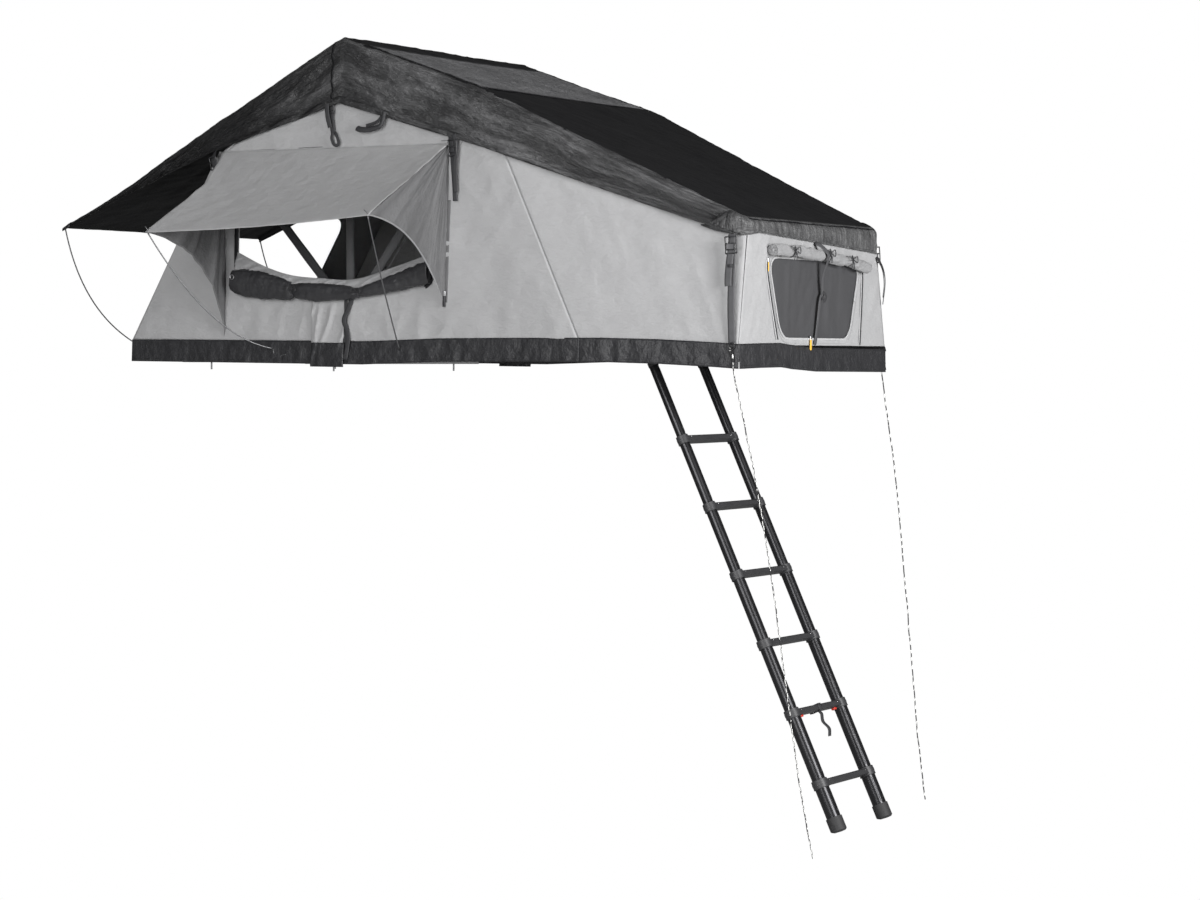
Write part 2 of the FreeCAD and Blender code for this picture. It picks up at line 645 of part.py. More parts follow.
def rear_wall():
    """Sloping wall over the fixed end, with its open window."""
    foot = SKIRT_HEIGHT + 1
    top = REAR_TOP[1] - 4
    w0, w1 = wall_y(foot) - 1, wall_y(top) - 1
    points = [Vector(BASE_REAR, -w0, foot), Vector(BASE_REAR, w0, foot),
              Vector(rear_wall_x(top), w1, top), Vector(rear_wall_x(top), -w1, top)]
    wall = prism(points, Vector(CLOTH, 0, 0))
    corners = rounded_outline(-REAR_WINDOW_HALF_W, REAR_WINDOW_HALF_W, REAR_WINDOW_Z0, REAR_WINDOW_Z1,
                              DOOR_ROUND)
    hole = rounded_hole(corners, lambda u, v: Vector(rear_wall_x(v) - 20, u, v), Vector(60, 0, 0))
    return wall.cut(hole)


def end_wall_x(z):
    """Inner face of the end wall at height z."""
    foot, top = SKIRT_HEIGHT + 1, END_TOP[1] - 4
    return PORCH_X + (PORCH_TOP_X - PORCH_X) * (z - foot) / (top - foot)


def door_half(z):
    """Half the width of the end window at height z."""
    return DOOR_FOOT_HALF_W + (DOOR_HALF_W - DOOR_FOOT_HALF_W) * (z - DOOR_Z0) / (DOOR_Z1 - DOOR_Z0)


def end_wall():
    """Outer end of the porch, with the big mesh window."""
    foot = SKIRT_HEIGHT + 1
    top = END_TOP[1] - 4
    side_x = end_wall_x(top - SHOULDER)
    points = [Vector(PORCH_X, -PORCH_HALF_W, foot), Vector(PORCH_X, PORCH_HALF_W, foot),
              Vector(side_x, PORCH_TOP_HALF_W, top - SHOULDER),
              Vector(PORCH_TOP_X, PORCH_TOP_HALF_W - SHOULDER, top),
              Vector(PORCH_TOP_X, SHOULDER - PORCH_TOP_HALF_W, top),
              Vector(side_x, -PORCH_TOP_HALF_W, top - SHOULDER)]
    wall = prism(points, Vector(CLOTH, 0, 0))
    corners = rounded_outline(-DOOR_HALF_W, DOOR_HALF_W, DOOR_Z0, DOOR_Z1, DOOR_ROUND)
    hole = rounded_hole(corners, lambda u, v: Vector(PORCH_TOP_X - 20, u * door_half(v) / DOOR_HALF_W, v),
                        Vector(60, 0, 0))
    return wall.cut(hole)


def window_mesh():
    """Insect mesh closed behind the end window."""
    grow, gap, thick = 25.0, 1.2, 0.8
    points = []
    for y, z in ((-1, DOOR_Z0 - grow), (1, DOOR_Z0 - grow), (1, DOOR_Z1 + grow), (-1, DOOR_Z1 + grow)):
        points.append(Vector(end_wall_x(z) - gap, y * (door_half(z) + grow), z))
    return prism(points, Vector(thick, 0, 0))


FLY_GAP = 7.0
FLY_SHOULDER = 22.0
FLY_OUT = 6.0       # the fly hangs this far off the porch walls
FLY_END = (PORCH_TOP_X + 7, END_TOP[1] + CLOTH + 7, PORCH_TOP_HALF_W + 11,
           PORCH_TOP_HALF_W + 24, 515.0)
FLY_FRONT = (FRONT_TOP[0] + 6, FRONT_TOP[1] + CLOTH + FLY_GAP, 697.0, 699.0, 905.0)


def porch_fly_station(along):
    """A fly station part of the way from the front hoop to the porch end, clear of the walls."""
    x = FLY_FRONT[0] + (FLY_END[0] - FLY_FRONT[0]) * along
    top = FLY_FRONT[1] + (FLY_END[1] - FLY_FRONT[1]) * along
    hem = FLY_FRONT[4] + (FLY_END[4] - FLY_FRONT[4]) * along
    off = CLOTH + FLY_OUT
    return x, top, porch_wall_y(x, top - FLY_SHOULDER) + off, porch_wall_y(x, hem) + off, hem


FLY_STATIONS = [
    # x, top, half width at the top, half width at the hem, hem
    (FLY_TIP_X, FLY_TIP_Z, 697.0, 697.0, FLY_TIP_Z - 14),
    (-690.0, 759.0, 698.0, 698.0, 724.0),
    (REAR_TOP[0] - 40, 1046.0, 698.0, 699.0, 922.0),
    (CENTRE_TOP[0] - 3, CENTRE_TOP[1] + CLOTH + FLY_GAP, 697.0, 699.0, 1112.0),
    FLY_FRONT,
    porch_fly_station(0.117),
    porch_fly_station(0.328),
    porch_fly_station(0.649),
    FLY_END,
]


def fly():
    """Black rainfly: one sheet from the rear awning tip over the hoops to the porch end."""
    sheet = folded_sheet(FLY_STATIONS, FLY_SHOULDER)
    x, top, w_top, w_hem, hem = FLY_END
    face = [Vector(x - CLOTH, y, z) for y, z in (
        (1 - w_hem, hem), (-w_top, top - FLY_SHOULDER), (FLY_SHOULDER - w_top, top - 0.5),
        (w_top - FLY_SHOULDER, top - 0.5), (w_top, top - FLY_SHOULDER), (w_hem - 1, hem))]
    return sheet.fuse(prism(face, Vector(CLOTH, 0, 0))).removeSplitter()


def porch_skirt():
    """Black band round the foot of the porch."""
    y0, y1 = SKIRT_HALF_W - CLOTH, PORCH_HALF_W
    x0, x1 = BASE_FRONT + 2, PORCH_X + 4
    side = prism([Vector(x0, y0, 0), Vector(x1, y1, 0), Vector(x1, y1 + CLOTH, 0),
                  Vector(x0, y0 + CLOTH, 0)], Vector(0, 0, SKIRT_HEIGHT))
    end = box(x1 - CLOTH, x1, -y1 - CLOTH, y1 + CLOTH, 0, SKIRT_HEIGHT)
    return side.fuse([mirrored(side), end]).removeSplitter()


def roll(x0, y0, x1, y1, z, radius):
    """A rolled flap lying along a sill, a little fatter between its ties."""
    start, end = Vector(x0, y0, z), Vector(x1, y1, z)
    along = end - start
    shape = None
    bulge_count = 4
    for i in range(bulge_count):
        a = start + along * (i / bulge_count)
        waist, belly = radius * 0.8, radius
        half = along.Length / bulge_count / 2
        direction = Vector(along)
        direction.normalize()
        for foot, r0, r1 in ((a, waist, belly), (a + along * (0.5 / bulge_count), belly, waist)):
            cone = Part.makeCone(r0, r1, half, foot, direction)
            shape = cone if shape is None else shape.fuse(cone)
    return shape


def window_rolls():
    """Mesh and flap of the side and rear windows, rolled down and tied on the sill."""
    y = wall_y(WINDOW_Z0 - ROLL_R) + CLOTH + ROLL_R + SEAT
    side = roll(WINDOW_X0 - 6, y, WINDOW_X1 + 6, y, WINDOW_Z0 - ROLL_R / 2, ROLL_R)
    tilt = math.atan2(REAR_TOP[0] - BASE_REAR, REAR_TOP[1] - SKIRT_HEIGHT)
    z = REAR_WINDOW_Z0 - ROLL_R
    x = rear_wall_x(z) - (ROLL_R + SEAT) * math.cos(tilt)
    z += (ROLL_R + SEAT) * math.sin(tilt)
    rear = roll(x, -REAR_WINDOW_HALF_W, x, REAR_WINDOW_HALF_W, z, ROLL_R)
    return both_sides(side) + [rear]


def door_roll():
    """The grey storm flap of the end window, rolled up above it."""
    z = DOOR_Z1 + 22
    x = end_wall_x(z) + CLOTH + DOOR_ROLL_R + SEAT
    return roll(x, -DOOR_HALF_W - 10, x, DOOR_HALF_W + 10, z, DOOR_ROLL_R)


# Straps, awnings, rods and ropes

SIDE_STRAPS = [
    # x, top inside the fly's hem, lower end
    (-143.0, 928.0, 836.0),
    (518.0, 1112.0, 1004.0),
    (1153.0, 962.0, 692.0),
]
STRAP_THICK = 1.5
STRAP_WIDE = 25.0


def strap_down(x, top, bottom):
    """A flat strap that hangs from inside the fly's hem, with its buckle."""
    y = SKIRT_HALF_W - 1.6 - CLOTH - STRAP_THICK
    strap = box(x, x + STRAP_WIDE, y, y + STRAP_THICK, bottom, top)
    buckle = box(x - 5, x + STRAP_WIDE + 5, y + 1, y + 11, top - 74, top - 40)
    buckle = buckle.makeChamfer(2.5, buckle.Edges)
    return strap.fuse(buckle)


def side_straps():
    """Tension straps that hold the fly down on both long sides."""
    straps = []
    for x, top, bottom in SIDE_STRAPS:
        straps += both_sides(strap_down(x, top, bottom))
    return straps


CORNER_STRAP_TOP = (2430.0, 536.0)
CORNER_STRAP_LOW = (2460.0, 104.0)
RING_X = CORNER_STRAP_LOW[0] + STRAP_WIDE / 2
RING_BOTTOM = 82.0


def porch_skirt_y(x):
    """Outer face of the porch skirt's side at one x."""
    along = (x - BASE_FRONT - 2) / (PORCH_X + 2 - BASE_FRONT)
    return SKIRT_HALF_W + (PORCH_HALF_W + CLOTH - SKIRT_HALF_W) * along


RING_Y = porch_skirt_y(RING_X - STRAP_WIDE / 2 - 4) + SEAT
ROPE_Y = RING_Y + ROPE_R
ROPE_TOP_Z = RING_BOTTOM - 2 * SEAT


def corner_strap():
    """Buckled strap down the porch's corner to the ring that the rope is tied to."""
    ends = []
    for x, z in (CORNER_STRAP_TOP, CORNER_STRAP_LOW):
        y = [porch_wall_y(x + u, z) + CLOTH + SEAT for u in (0.0, STRAP_WIDE)]
        if z < SKIRT_HEIGHT + 10:
            y = [RING_Y, RING_Y]
        ends.append(Part.makeLine(Vector(x, y[0], z), Vector(x + STRAP_WIDE, y[1], z)))
    strap = Part.makeRuledSurface(ends[0], ends[1]).extrude(Vector(0, STRAP_THICK, 0))
    x, z = CORNER_STRAP_TOP
    y = porch_wall_y(x, z - 70) + CLOTH + 1
    buckle = box(x - 2, x + STRAP_WIDE + 8, y, y + 12, z - 78, z - 40)
    buckle = buckle.makeChamfer(2.5, buckle.Edges)
    half = STRAP_WIDE / 2 + 4
    ring = box(RING_X - half, RING_X + half, RING_Y, RING_Y + 4, RING_BOTTOM, CORNER_STRAP_LOW[1] + 3)
    hole = box(RING_X - half + 4, RING_X + half - 4, RING_Y - 1, RING_Y + 5,
               RING_BOTTOM + 4, CORNER_STRAP_LOW[1] - 3)
    return strap.fuse([buckle, ring.cut(hole)])


def corner_straps():
    return both_sides(corner_strap())


AWNING_Y = wall_y(AWNING_TOP_Z) + CLOTH + SEAT + BEAD_R
AWNING_OUT_Y = AWNING_Y + AWNING_REACH
AWNING_OUT_Z = AWNING_TOP_Z - AWNING_DROP
OUT_LEFT = Vector(AWNING_OUT_X0, AWNING_OUT_Y, AWNING_OUT_Z - AWNING_TWIST)
OUT_RIGHT = Vector(AWNING_OUT_X1, AWNING_OUT_Y, AWNING_OUT_Z + AWNING_TWIST)


def gusset(top, out, foot):
    """Three-cornered side piece of an awning, with a hollow free edge."""
    middle = (out + foot) * 0.5
    inward = top - middle
    inward.normalize()
    edge = Part.Arc(out, middle + inward * GUSSET_HOLLOW, foot).toShape()
    face = Part.Face(Part.Wire([Part.makeLine(top, out), edge, Part.makeLine(foot, top)]))
    return face.extrude(Vector(CLOTH, 0, 0))


def awning():
    """Window awning: a sheet from its piped seam to the spread outer hem, with side gussets."""
    seam_left = Vector(AWNING_X0, AWNING_Y, AWNING_TOP_Z)
    seam_right = Vector(AWNING_X1, AWNING_Y, AWNING_TOP_Z)
    thick = Vector(0, 0, -CLOTH)
    seam = Part.makeLine(seam_left, seam_right)
    sheet = Part.makeRuledSurface(seam, Part.makeLine(OUT_LEFT, OUT_RIGHT)).extrude(thick)
    back = Vector(CLOTH, 0, 0)
    foot_left, foot_right = [Vector(x, wall_y(z) + CLOTH + SEAT, z) for x, z in (GUSSET_LEFT, GUSSET_RIGHT)]
    left = gusset(seam_left, OUT_LEFT, foot_left)
    right = gusset(seam_right - back, OUT_RIGHT - back, foot_right - back)
    bead = Part.makeCylinder(BEAD_R, AWNING_X1 - AWNING_X0, seam_left, Vector(1, 0, 0))
    return sheet.fuse([left, right, bead]).removeSplitter()


def bent_rod(foot, tip, bow):
    """A sprung steel rod bowed between two points, as one arc."""
    mid = (foot + tip) * 0.5 + bow
    arc = Part.Arc(foot, mid, tip)
    start = arc.tangent(arc.FirstParameter)[0]
    ring = Part.Wire([Part.makeCircle(ROD_R, foot, start)])
    return Part.Wire([arc.toShape()]).makePipeShell([ring], True, False)


def awning_rods():
    """Two sprung rods from sockets at the skirt to the awning's outer corners."""
    under = Vector(0, -6, -2.4)
    foot_y = SKIRT_HALF_W + 0.2 + ROD_R + SEAT
    left = bent_rod(Vector(ROD_LEFT_X, foot_y, ROD_FOOT_Z), OUT_LEFT + under + Vector(8, 0, 0),
                    Vector(0, 0, -ROD_BOW))
    right = bent_rod(Vector(ROD_RIGHT_X, foot_y, ROD_FOOT_Z), OUT_RIGHT + under - Vector(8, 0, 0),
                     Vector(0, 6, -6))
    return [left, right]


def rear_rods():
    """Rods that spread the fly's rear awning."""
    foot = Vector(BASE_REAR - CLOTH - ROD_R - SEAT, SKIRT_HALF_W - 12, SKIRT_HEIGHT - 12)
    tip = Vector(FLY_TIP_X + 12, 695 - ROD_R - SEAT, FLY_TIP_Z - 6)
    rod = bent_rod(foot, tip, Vector(-REAR_ROD_BOW, 0, -REAR_ROD_BOW))
    return both_sides(rod)


def zip_slider():
    """Slider and pull of the end window's side zip."""
    z = DOOR_Z1 - 12
    x = end_wall_x(z) + CLOTH + 0.6
    y = -door_half(z) - 16
    body = box(x, x + 7, y - 5, y + 5, z - 8, z + 8)
    body = body.makeChamfer(1.5, body.Edges)
    pull = box(x + 3, x + 5.5, y - 3, y + 3, z - 42, z - 6)
    return body.fuse(pull)


# Ropes: hand-chosen points, straight between small bends because they are pulled tight
ROPE_NEAR = [(RING_X, -ROPE_Y, ROPE_TOP_Z), (2476.0, -637.0, 2.0), (2531.0, -642.0, -190.0),
             (2624.0, -664.0, -520.0), (2714.0, -703.0, -880.0), (2786.0, -734.0, -1210.0),
             (2846.0, -761.0, -1480.0), (2902.0, -784.0, -1700.0), (2944.0, -792.0, -1852.0)]
ROPE_FAR = [(RING_X, ROPE_Y, ROPE_TOP_Z), (2476.0, 637.5, 2.0), (2510.0, 641.0, -190.0),
            (2564.0, 648.0, -560.0), (2599.0, 654.0, -920.0), (2636.0, 662.0, -1290.0),
            (2662.0, 671.0, -1600.0), (2692.0, 689.0, -1846.0)]


def rope(name, route):
    """A tube along straight runs joined by tangent arcs."""
    pts = [Vector(*p) for p in route]
    edges, last, length, radii = [], pts[0], 0.0, []
    for before, here, after in zip(pts, pts[1:], pts[2:]):
        u, v = (here - before), (after - here)
        run = min(u.Length, v.Length)
        turn = u.getAngle(v)
        radius = 0.45 * run / math.tan(turn / 2)
        cut = radius * math.tan(turn / 2)
        u.normalize()
        v.normalize()
        a, b = here - u * cut, here + v * cut
        bulge = (a + b) * 0.5
        toward = here - bulge
        toward.normalize()
        sag = radius * (1 - math.cos(turn / 2))
        edges.append(Part.makeLine(last, a))
        edges.append(Part.Arc(a, bulge + toward * sag, b).toShape())
        length += (a - last).Length + radius * turn
        radii.append(round(radius))
        last = b
    edges.append(Part.makeLine(last, pts[-1]))
    length += (pts[-1] - last).Length
    start = pts[1] - pts[0]
    ring = Part.Wire([Part.makeCircle(ROPE_R, pts[0], start)])
    tube = Part.Wire(edges).makePipeShell([ring], True, False)
    expected = math.pi * ROPE_R ** 2 * length
    print(name, "length", round(length), "radii", radii, "volume ratio", round(tube.Volume / expected, 4))
    return tube


def main():
    os.makedirs("parts", exist_ok=True)
    inner = (BASE_REAR + 3, HINGE_X - FOLD_GAP)
    outer = (HINGE_X + FOLD_GAP, BASE_FRONT - 2)
    save("mount_rails", *mount_rails())
    save("rack_bolts", *rack_bolts())
    save("inner_frame", panel_frame(*inner))
    save("inner_board", panel_board(*inner))
    save("inner_mattress", mattress(inner[0] + REAR_INSET, inner[1] - 3))
    save("inner_skirt", *inner_skirt())
    save("hinge_plates_inner", *both_sides(hinge_plate_inner()))
    save("hinge_pins", *both_sides(hinge_pin()))
    save("fold_flaps", *both_sides(fold_flap()))
    save("outer_frame", panel_frame(*outer))
    save("outer_board", panel_board(*outer))
    save("outer_mattress", mattress(outer[0] + 3, outer[1] - MATTRESS_INSET))
    save("outer_skirt", *both_sides(skirt_side(HINGE_X + FOLD_GAP, BASE_FRONT, HINGE_X + 116)))
    save("hinge_plates_outer", *both_sides(hinge_plate_outer()))
    save("end_brackets", *end_brackets())
    save("ladder_bracket", ladder_bracket())
    save("rear_hoop", hoop(HOOP_REAR_LEN, HOOP_REAR_Y, HINGE, HOOP_REAR_TILT))
    save("centre_hoop", hoop(HOOP_CENTRE_LEN, HOOP_CENTRE_Y, HINGE, HOOP_CENTRE_TILT))
    save("front_hoop", hoop(HOOP_FRONT_LEN, HOOP_FRONT_Y, HINGE, HOOP_FRONT_TILT))
    save("end_hoop", hoop(END_HOOP_LEN, END_HOOP_Y, END_PIVOT, END_HOOP_TILT))
    save("ladder_hanger", ladder_hanger())
    for section in range(1, SECTION_COUNT + 1):
        save("ladder_tubes_%d" % section, *ladder_tubes(section))
        if section > 1:
            save("ladder_rung_%d" % section, ladder_rung(section))
    save("ladder_feet", *ladder_feet())
    save("ladder_button_near", ladder_button(-1))
    save("ladder_button_far", ladder_button(1))
    save("ladder_strap", ladder_strap())
    save("side_wall_far", side_wall())
    save("side_wall_near", mirrored(side_wall()))
    save("rear_wall", rear_wall())
    save("end_wall", end_wall())
    save("porch_walls", *both_sides(porch_wall()))
    save("porch_skirt", porch_skirt())
    save("roof_canvas", roof_canvas())
    save("window_mesh", window_mesh())
    save("fly", fly())
    save("window_rolls", *window_rolls())
    save("door_roll", door_roll())
    save("side_straps", *side_straps())
    save("corner_straps", *corner_straps())
    save("zip_slider", zip_slider())
    save("rear_rods", *rear_rods())
    save("awning_far", awning())
    save("awning_near", mirrored(awning()))
    save("awning_rods_far", *awning_rods())
    save("awning_rods_near", *[mirrored(r) for r in awning_rods()])
    save("guy_rope_near", rope("near rope", ROPE_NEAR))
    save("guy_rope_far", rope("far rope", ROPE_FAR))


main()
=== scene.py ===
# %% [markdown]
# # A soft-shell roof top tent, standing open
#
# The tent is a folding bed on two panels, a set of bent hoops, a canvas skin over them and a
# black rainfly on top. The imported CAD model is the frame: its rigid parts stay where they are and
# get their finishes here, and its flat cloth solids are replaced by sheets that hang and crease.
# All lengths are metres, in the frame of the part: X is the fold-out direction, Y runs along the
# hinge and Z is up.

# %% Load the frame
import math

import bmesh
import bpy
import numpy as np
from mathutils import Matrix, Vector


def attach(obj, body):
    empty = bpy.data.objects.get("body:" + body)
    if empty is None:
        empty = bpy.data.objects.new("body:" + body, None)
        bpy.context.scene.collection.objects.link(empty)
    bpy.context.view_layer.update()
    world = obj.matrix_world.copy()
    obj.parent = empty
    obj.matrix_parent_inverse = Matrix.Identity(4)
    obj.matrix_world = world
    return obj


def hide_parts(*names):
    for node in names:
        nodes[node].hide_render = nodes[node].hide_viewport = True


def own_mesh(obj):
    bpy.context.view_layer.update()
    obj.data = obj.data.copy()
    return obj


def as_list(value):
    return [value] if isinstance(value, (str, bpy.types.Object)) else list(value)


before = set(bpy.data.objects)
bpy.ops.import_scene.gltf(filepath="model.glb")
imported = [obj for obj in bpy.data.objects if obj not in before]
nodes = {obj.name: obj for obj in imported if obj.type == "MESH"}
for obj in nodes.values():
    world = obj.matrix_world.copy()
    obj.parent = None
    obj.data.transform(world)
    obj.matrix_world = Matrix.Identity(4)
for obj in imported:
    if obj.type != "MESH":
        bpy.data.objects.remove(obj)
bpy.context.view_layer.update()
scene = bpy.context.scene

# %% [markdown]
# ## The camera
#
# The photograph was taken from beside the porch, level with the bed. The camera's place was found
# from the straight edges of the base, the ladder's even rungs and an assumed wheelbase of the
# vehicle, so the render lines up with the photograph without any shift.

# %% Put the camera where the photographer stood
CAMERA_PLACE = Vector((7.9407, -10.1001, 0.0934))
CAMERA_YAW = math.radians(32.7103)
CAMERA_PITCH = math.radians(-2.1543)
CAMERA_ROLL = math.radians(0.5555)
FOCAL_PIXELS = 2783.5
PHOTO_WIDTH = 1200

forward = Vector((-math.sin(CAMERA_YAW) * math.cos(CAMERA_PITCH),
                  math.cos(CAMERA_YAW) * math.cos(CAMERA_PITCH), math.sin(CAMERA_PITCH)))
right = forward.cross(Vector((0, 0, 1))).normalized()
up = right.cross(forward)
right, up = (right * math.cos(CAMERA_ROLL) + up * math.sin(CAMERA_ROLL),
             up * math.cos(CAMERA_ROLL) - right * math.sin(CAMERA_ROLL))
camera_data = bpy.data.cameras.new("camera")
camera_data.sensor_width = 36.0
camera_data.lens = FOCAL_PIXELS / PHOTO_WIDTH * camera_data.sensor_width
camera_data.clip_end = 100.0
camera = bpy.data.objects.new("camera", camera_data)
turn = Matrix((right, up, -forward)).transposed()
camera.matrix_world = Matrix.Translation(CAMERA_PLACE) @ turn.to_4x4()
scene.collection.objects.link(camera)
scene.camera = camera

# %% [markdown]
# ## Sizes of the tent
#
# The cloth is built from the same few sizes as the CAD model. Naming them once keeps the walls,
# the roof and the fly meeting along the same edges.

# %% Name the sizes
BASE_REAR = -0.600
HINGE_X = 0.600
BASE_FRONT = 1.800
SKIRT_TOP = 0.100
SKIRT_Y = 0.700
REAR_TOP = (-0.101, 0.932)
CENTRE_TOP = (0.575, 1.386)
FRONT_TOP = (1.306, 1.132)
PORCH_TOP = (2.489, 0.586)
PORCH_X = 2.497
PORCH_Y = 0.628
PORCH_TOP_Y = 0.549
FLY_TIP = (-1.030, 0.605)
CLOTH = 0.002
HINGE = Vector((HINGE_X, 0, 0.190))


def wall_y(z):
    """Half width of the tent at height z: the side walls lean in a little."""
    return 0.697 - 0.0105 * (z - SKIRT_TOP)


def rear_x(z):
    """Outer face of the sloping rear wall at height z."""
    return BASE_REAR + (REAR_TOP[0] - 0.004 - BASE_REAR) * (z - 0.101) / (REAR_TOP[1] - 0.004 - 0.101)


def end_x(z):
    """Inner face of the end wall at height z."""
    return PORCH_X + (2.488 - PORCH_X) * (z - 0.101) / (PORCH_TOP[1] - 0.004 - 0.101)


# %% [markdown]
# ## Smooth noise for creases
#
# Real cloth is never flat. Its creases come from one function here: gradient noise on a lattice,
# worked out with numpy for many points at once, so a sheet of thirty thousand points takes a
# moment. Stretching the coordinates along the pull of the cloth turns blobs into folds.

# %% Noise on arrays of points
lattice = np.random.default_rng(7)
GRADIENTS = lattice.normal(size=(256, 3))
GRADIENTS /= np.linalg.norm(GRADIENTS, axis=1)[:, None]
SHUFFLE = lattice.permutation(256)


def noise(points):
    """Gradient noise between about -1 and 1 at an (n, 3) array of points."""
    cell = np.floor(points).astype(int)
    inside = points - cell
    fade = inside ** 3 * (inside * (inside * 6 - 15) + 10)
    total = np.zeros(len(points))
    for dx in (0, 1):
        for dy in (0, 1):
            for dz in (0, 1):
                corner = SHUFFLE[(cell[:, 0] + dx) & 255]
                corner = SHUFFLE[(corner + cell[:, 1] + dy) & 255]
                corner = SHUFFLE[(corner + cell[:, 2] + dz) & 255]
                offset = inside - np.array([dx, dy, dz])
                dot = (GRADIENTS[corner] * offset).sum(axis=1)
                weight = np.abs(1 - dx - fade[:, 0]) * np.abs(1 - dy - fade[:, 1])
                total += dot * weight * np.abs(1 - dz - fade[:, 2])
    return total * 1.6


def folds(points, along, length, width, seed):
    """Ridges that run along one direction, from -1 to 1, sharper at their crests."""
    along = np.array(along, float)
    along /= np.linalg.norm(along)
    lengthwise = points @ along
    across = points - np.outer(lengthwise, along)
    stretched = across / width + np.outer(lengthwise / length, along) + seed * 17.3
    return 1 - 2 * np.abs(noise(stretched)) ** 0.8


# %% [markdown]
# ## Sheets of cloth from a grid
#
# Every panel is a grid of points: rows along one edge, columns along the other. A grid keeps its
# quads in line with the cloth's pull, gives a UV map in metres for weave and stitches, and takes
# folds as a move along its normals. Solidify then gives it the thickness of the cloth.

# %% Turn a grid into a sheet
def grid_normals(grid):
    """A unit normal at each point of an (rows, columns, 3) grid."""
    down = np.gradient(grid, axis=0)
    across = np.gradient(grid, axis=1)
    normal = np.cross(down, across)
    size = np.linalg.norm(normal, axis=2, keepdims=True)
    return normal / np.maximum(size, 1e-12)


def grid_area(grid):
    """Area of the sheet in square metres."""
    a = grid[1:, :-1] - grid[:-1, :-1]
    b = grid[:-1, 1:] - grid[:-1, :-1]
    c = grid[1:, :-1] - grid[1:, 1:]
    d = grid[:-1, 1:] - grid[1:, 1:]
    first = np.linalg.norm(np.cross(a, b), axis=2)
    second = np.linalg.norm(np.cross(c, d), axis=2)
    return float((first + second).sum() / 2)


def finish_mesh(name, mesh, material):
    """Link a mesh as a shaded object with one material."""
    mesh.materials.append(material)
    mesh.polygons.foreach_set("use_smooth", [True] * len(mesh.polygons))
    mesh.update()
    piece = bpy.data.objects.new(name, mesh)
    scene.collection.objects.link(piece)
    return piece


def sheet_object(name, grid, material, wrap=False, thick=CLOTH, offset=1.0):
    """A smooth sheet over a grid of points; wrap joins its last column to its first."""
    rows, columns = grid.shape[:2]
    lengths = np.linalg.norm(np.diff(grid, axis=1), axis=2).mean(axis=0)
    widths = np.linalg.norm(np.diff(grid, axis=0), axis=2).mean(axis=1)
    u = np.concatenate([[0], np.cumsum(lengths)])
    v = np.concatenate([[0], np.cumsum(widths)])
    step = float(lengths.mean())
    faces, uvs = [], []
    for i in range(rows - 1):
        for j in range(columns if wrap else columns - 1):
            k = (j + 1) % columns
            faces.append((i * columns + j, (i + 1) * columns + j, (i + 1) * columns + k, i * columns + k))
            far = u[j] + step if k == 0 else u[k]
            uvs += [(u[j], v[i]), (u[j], v[i + 1]), (far, v[i + 1]), (far, v[i])]
    mesh = bpy.data.meshes.new(name)
    mesh.from_pydata(grid.reshape(-1, 3).tolist(), [], faces)
    layer = mesh.uv_layers.new(name="cloth")
    layer.data.foreach_set("uv", np.array(uvs).ravel())
    piece = finish_mesh(name, mesh, material)
    if thick:
        skin = piece.modifiers.new("thickness", "SOLIDIFY")
        skin.thickness = thick
        skin.offset = offset
        skin.use_rim = True
        apply_modifiers(piece)
    return piece


def apply_modifiers(piece):
    """Bake the modifiers into the mesh, so that later steps see the real shape."""
    bpy.context.view_layer.update()
    evaluated = piece.evaluated_get(bpy.context.evaluated_depsgraph_get())
    mesh = bpy.data.meshes.new_from_object(evaluated, preserve_all_data_layers=True,
                                           depsgraph=bpy.context.evaluated_depsgraph_get())
    piece.modifiers.clear()
    piece.data = mesh
    return piece


def smooth_path(points, count):
    """A Catmull-Rom curve through a few points, sampled evenly in its parameter."""
    pts = np.array(points, float)
    padded = np.vstack([2 * pts[0] - pts[1], pts, 2 * pts[-1] - pts[-2]])
    out = []
    for t in np.linspace(0, len(pts) - 1, count):
        i = min(int(t), len(pts) - 2)
        f = t - i
        p0, p1, p2, p3 = padded[i:i + 4]
        out.append(0.5 * (2 * p1 + (p2 - p0) * f + (2 * p0 - 5 * p1 + 4 * p2 - p3) * f ** 2
                          + (3 * p1 - p0 - 3 * p2 + p3) * f ** 3))
    return np.array(out)


# %% [markdown]
# ## Tubes, straps and piping
#
# Ropes, rods, bindings and webbing all follow a line. A tube carries a ring of points along it
# with the least twist; a strap is a flat ribbon that keeps one side towards a given direction.

# %% Things that follow a line
def frames_along(points, hint):
    """Tangents and two steady side directions along a line of points."""
    tangents = np.gradient(points, axis=0)
    tangents /= np.linalg.norm(tangents, axis=1)[:, None]
    side = np.cross(tangents[0], hint)
    if np.linalg.norm(side) < 1e-6:
        side = np.cross(tangents[0], (0.3, 0.5, 0.8))
    sides = []
    for tangent in tangents:
        side = side - tangent * (side @ tangent)
        side = side / np.linalg.norm(side)
        sides.append(side)
    sides = np.array(sides)
    return tangents, sides, np.cross(sides, tangents)


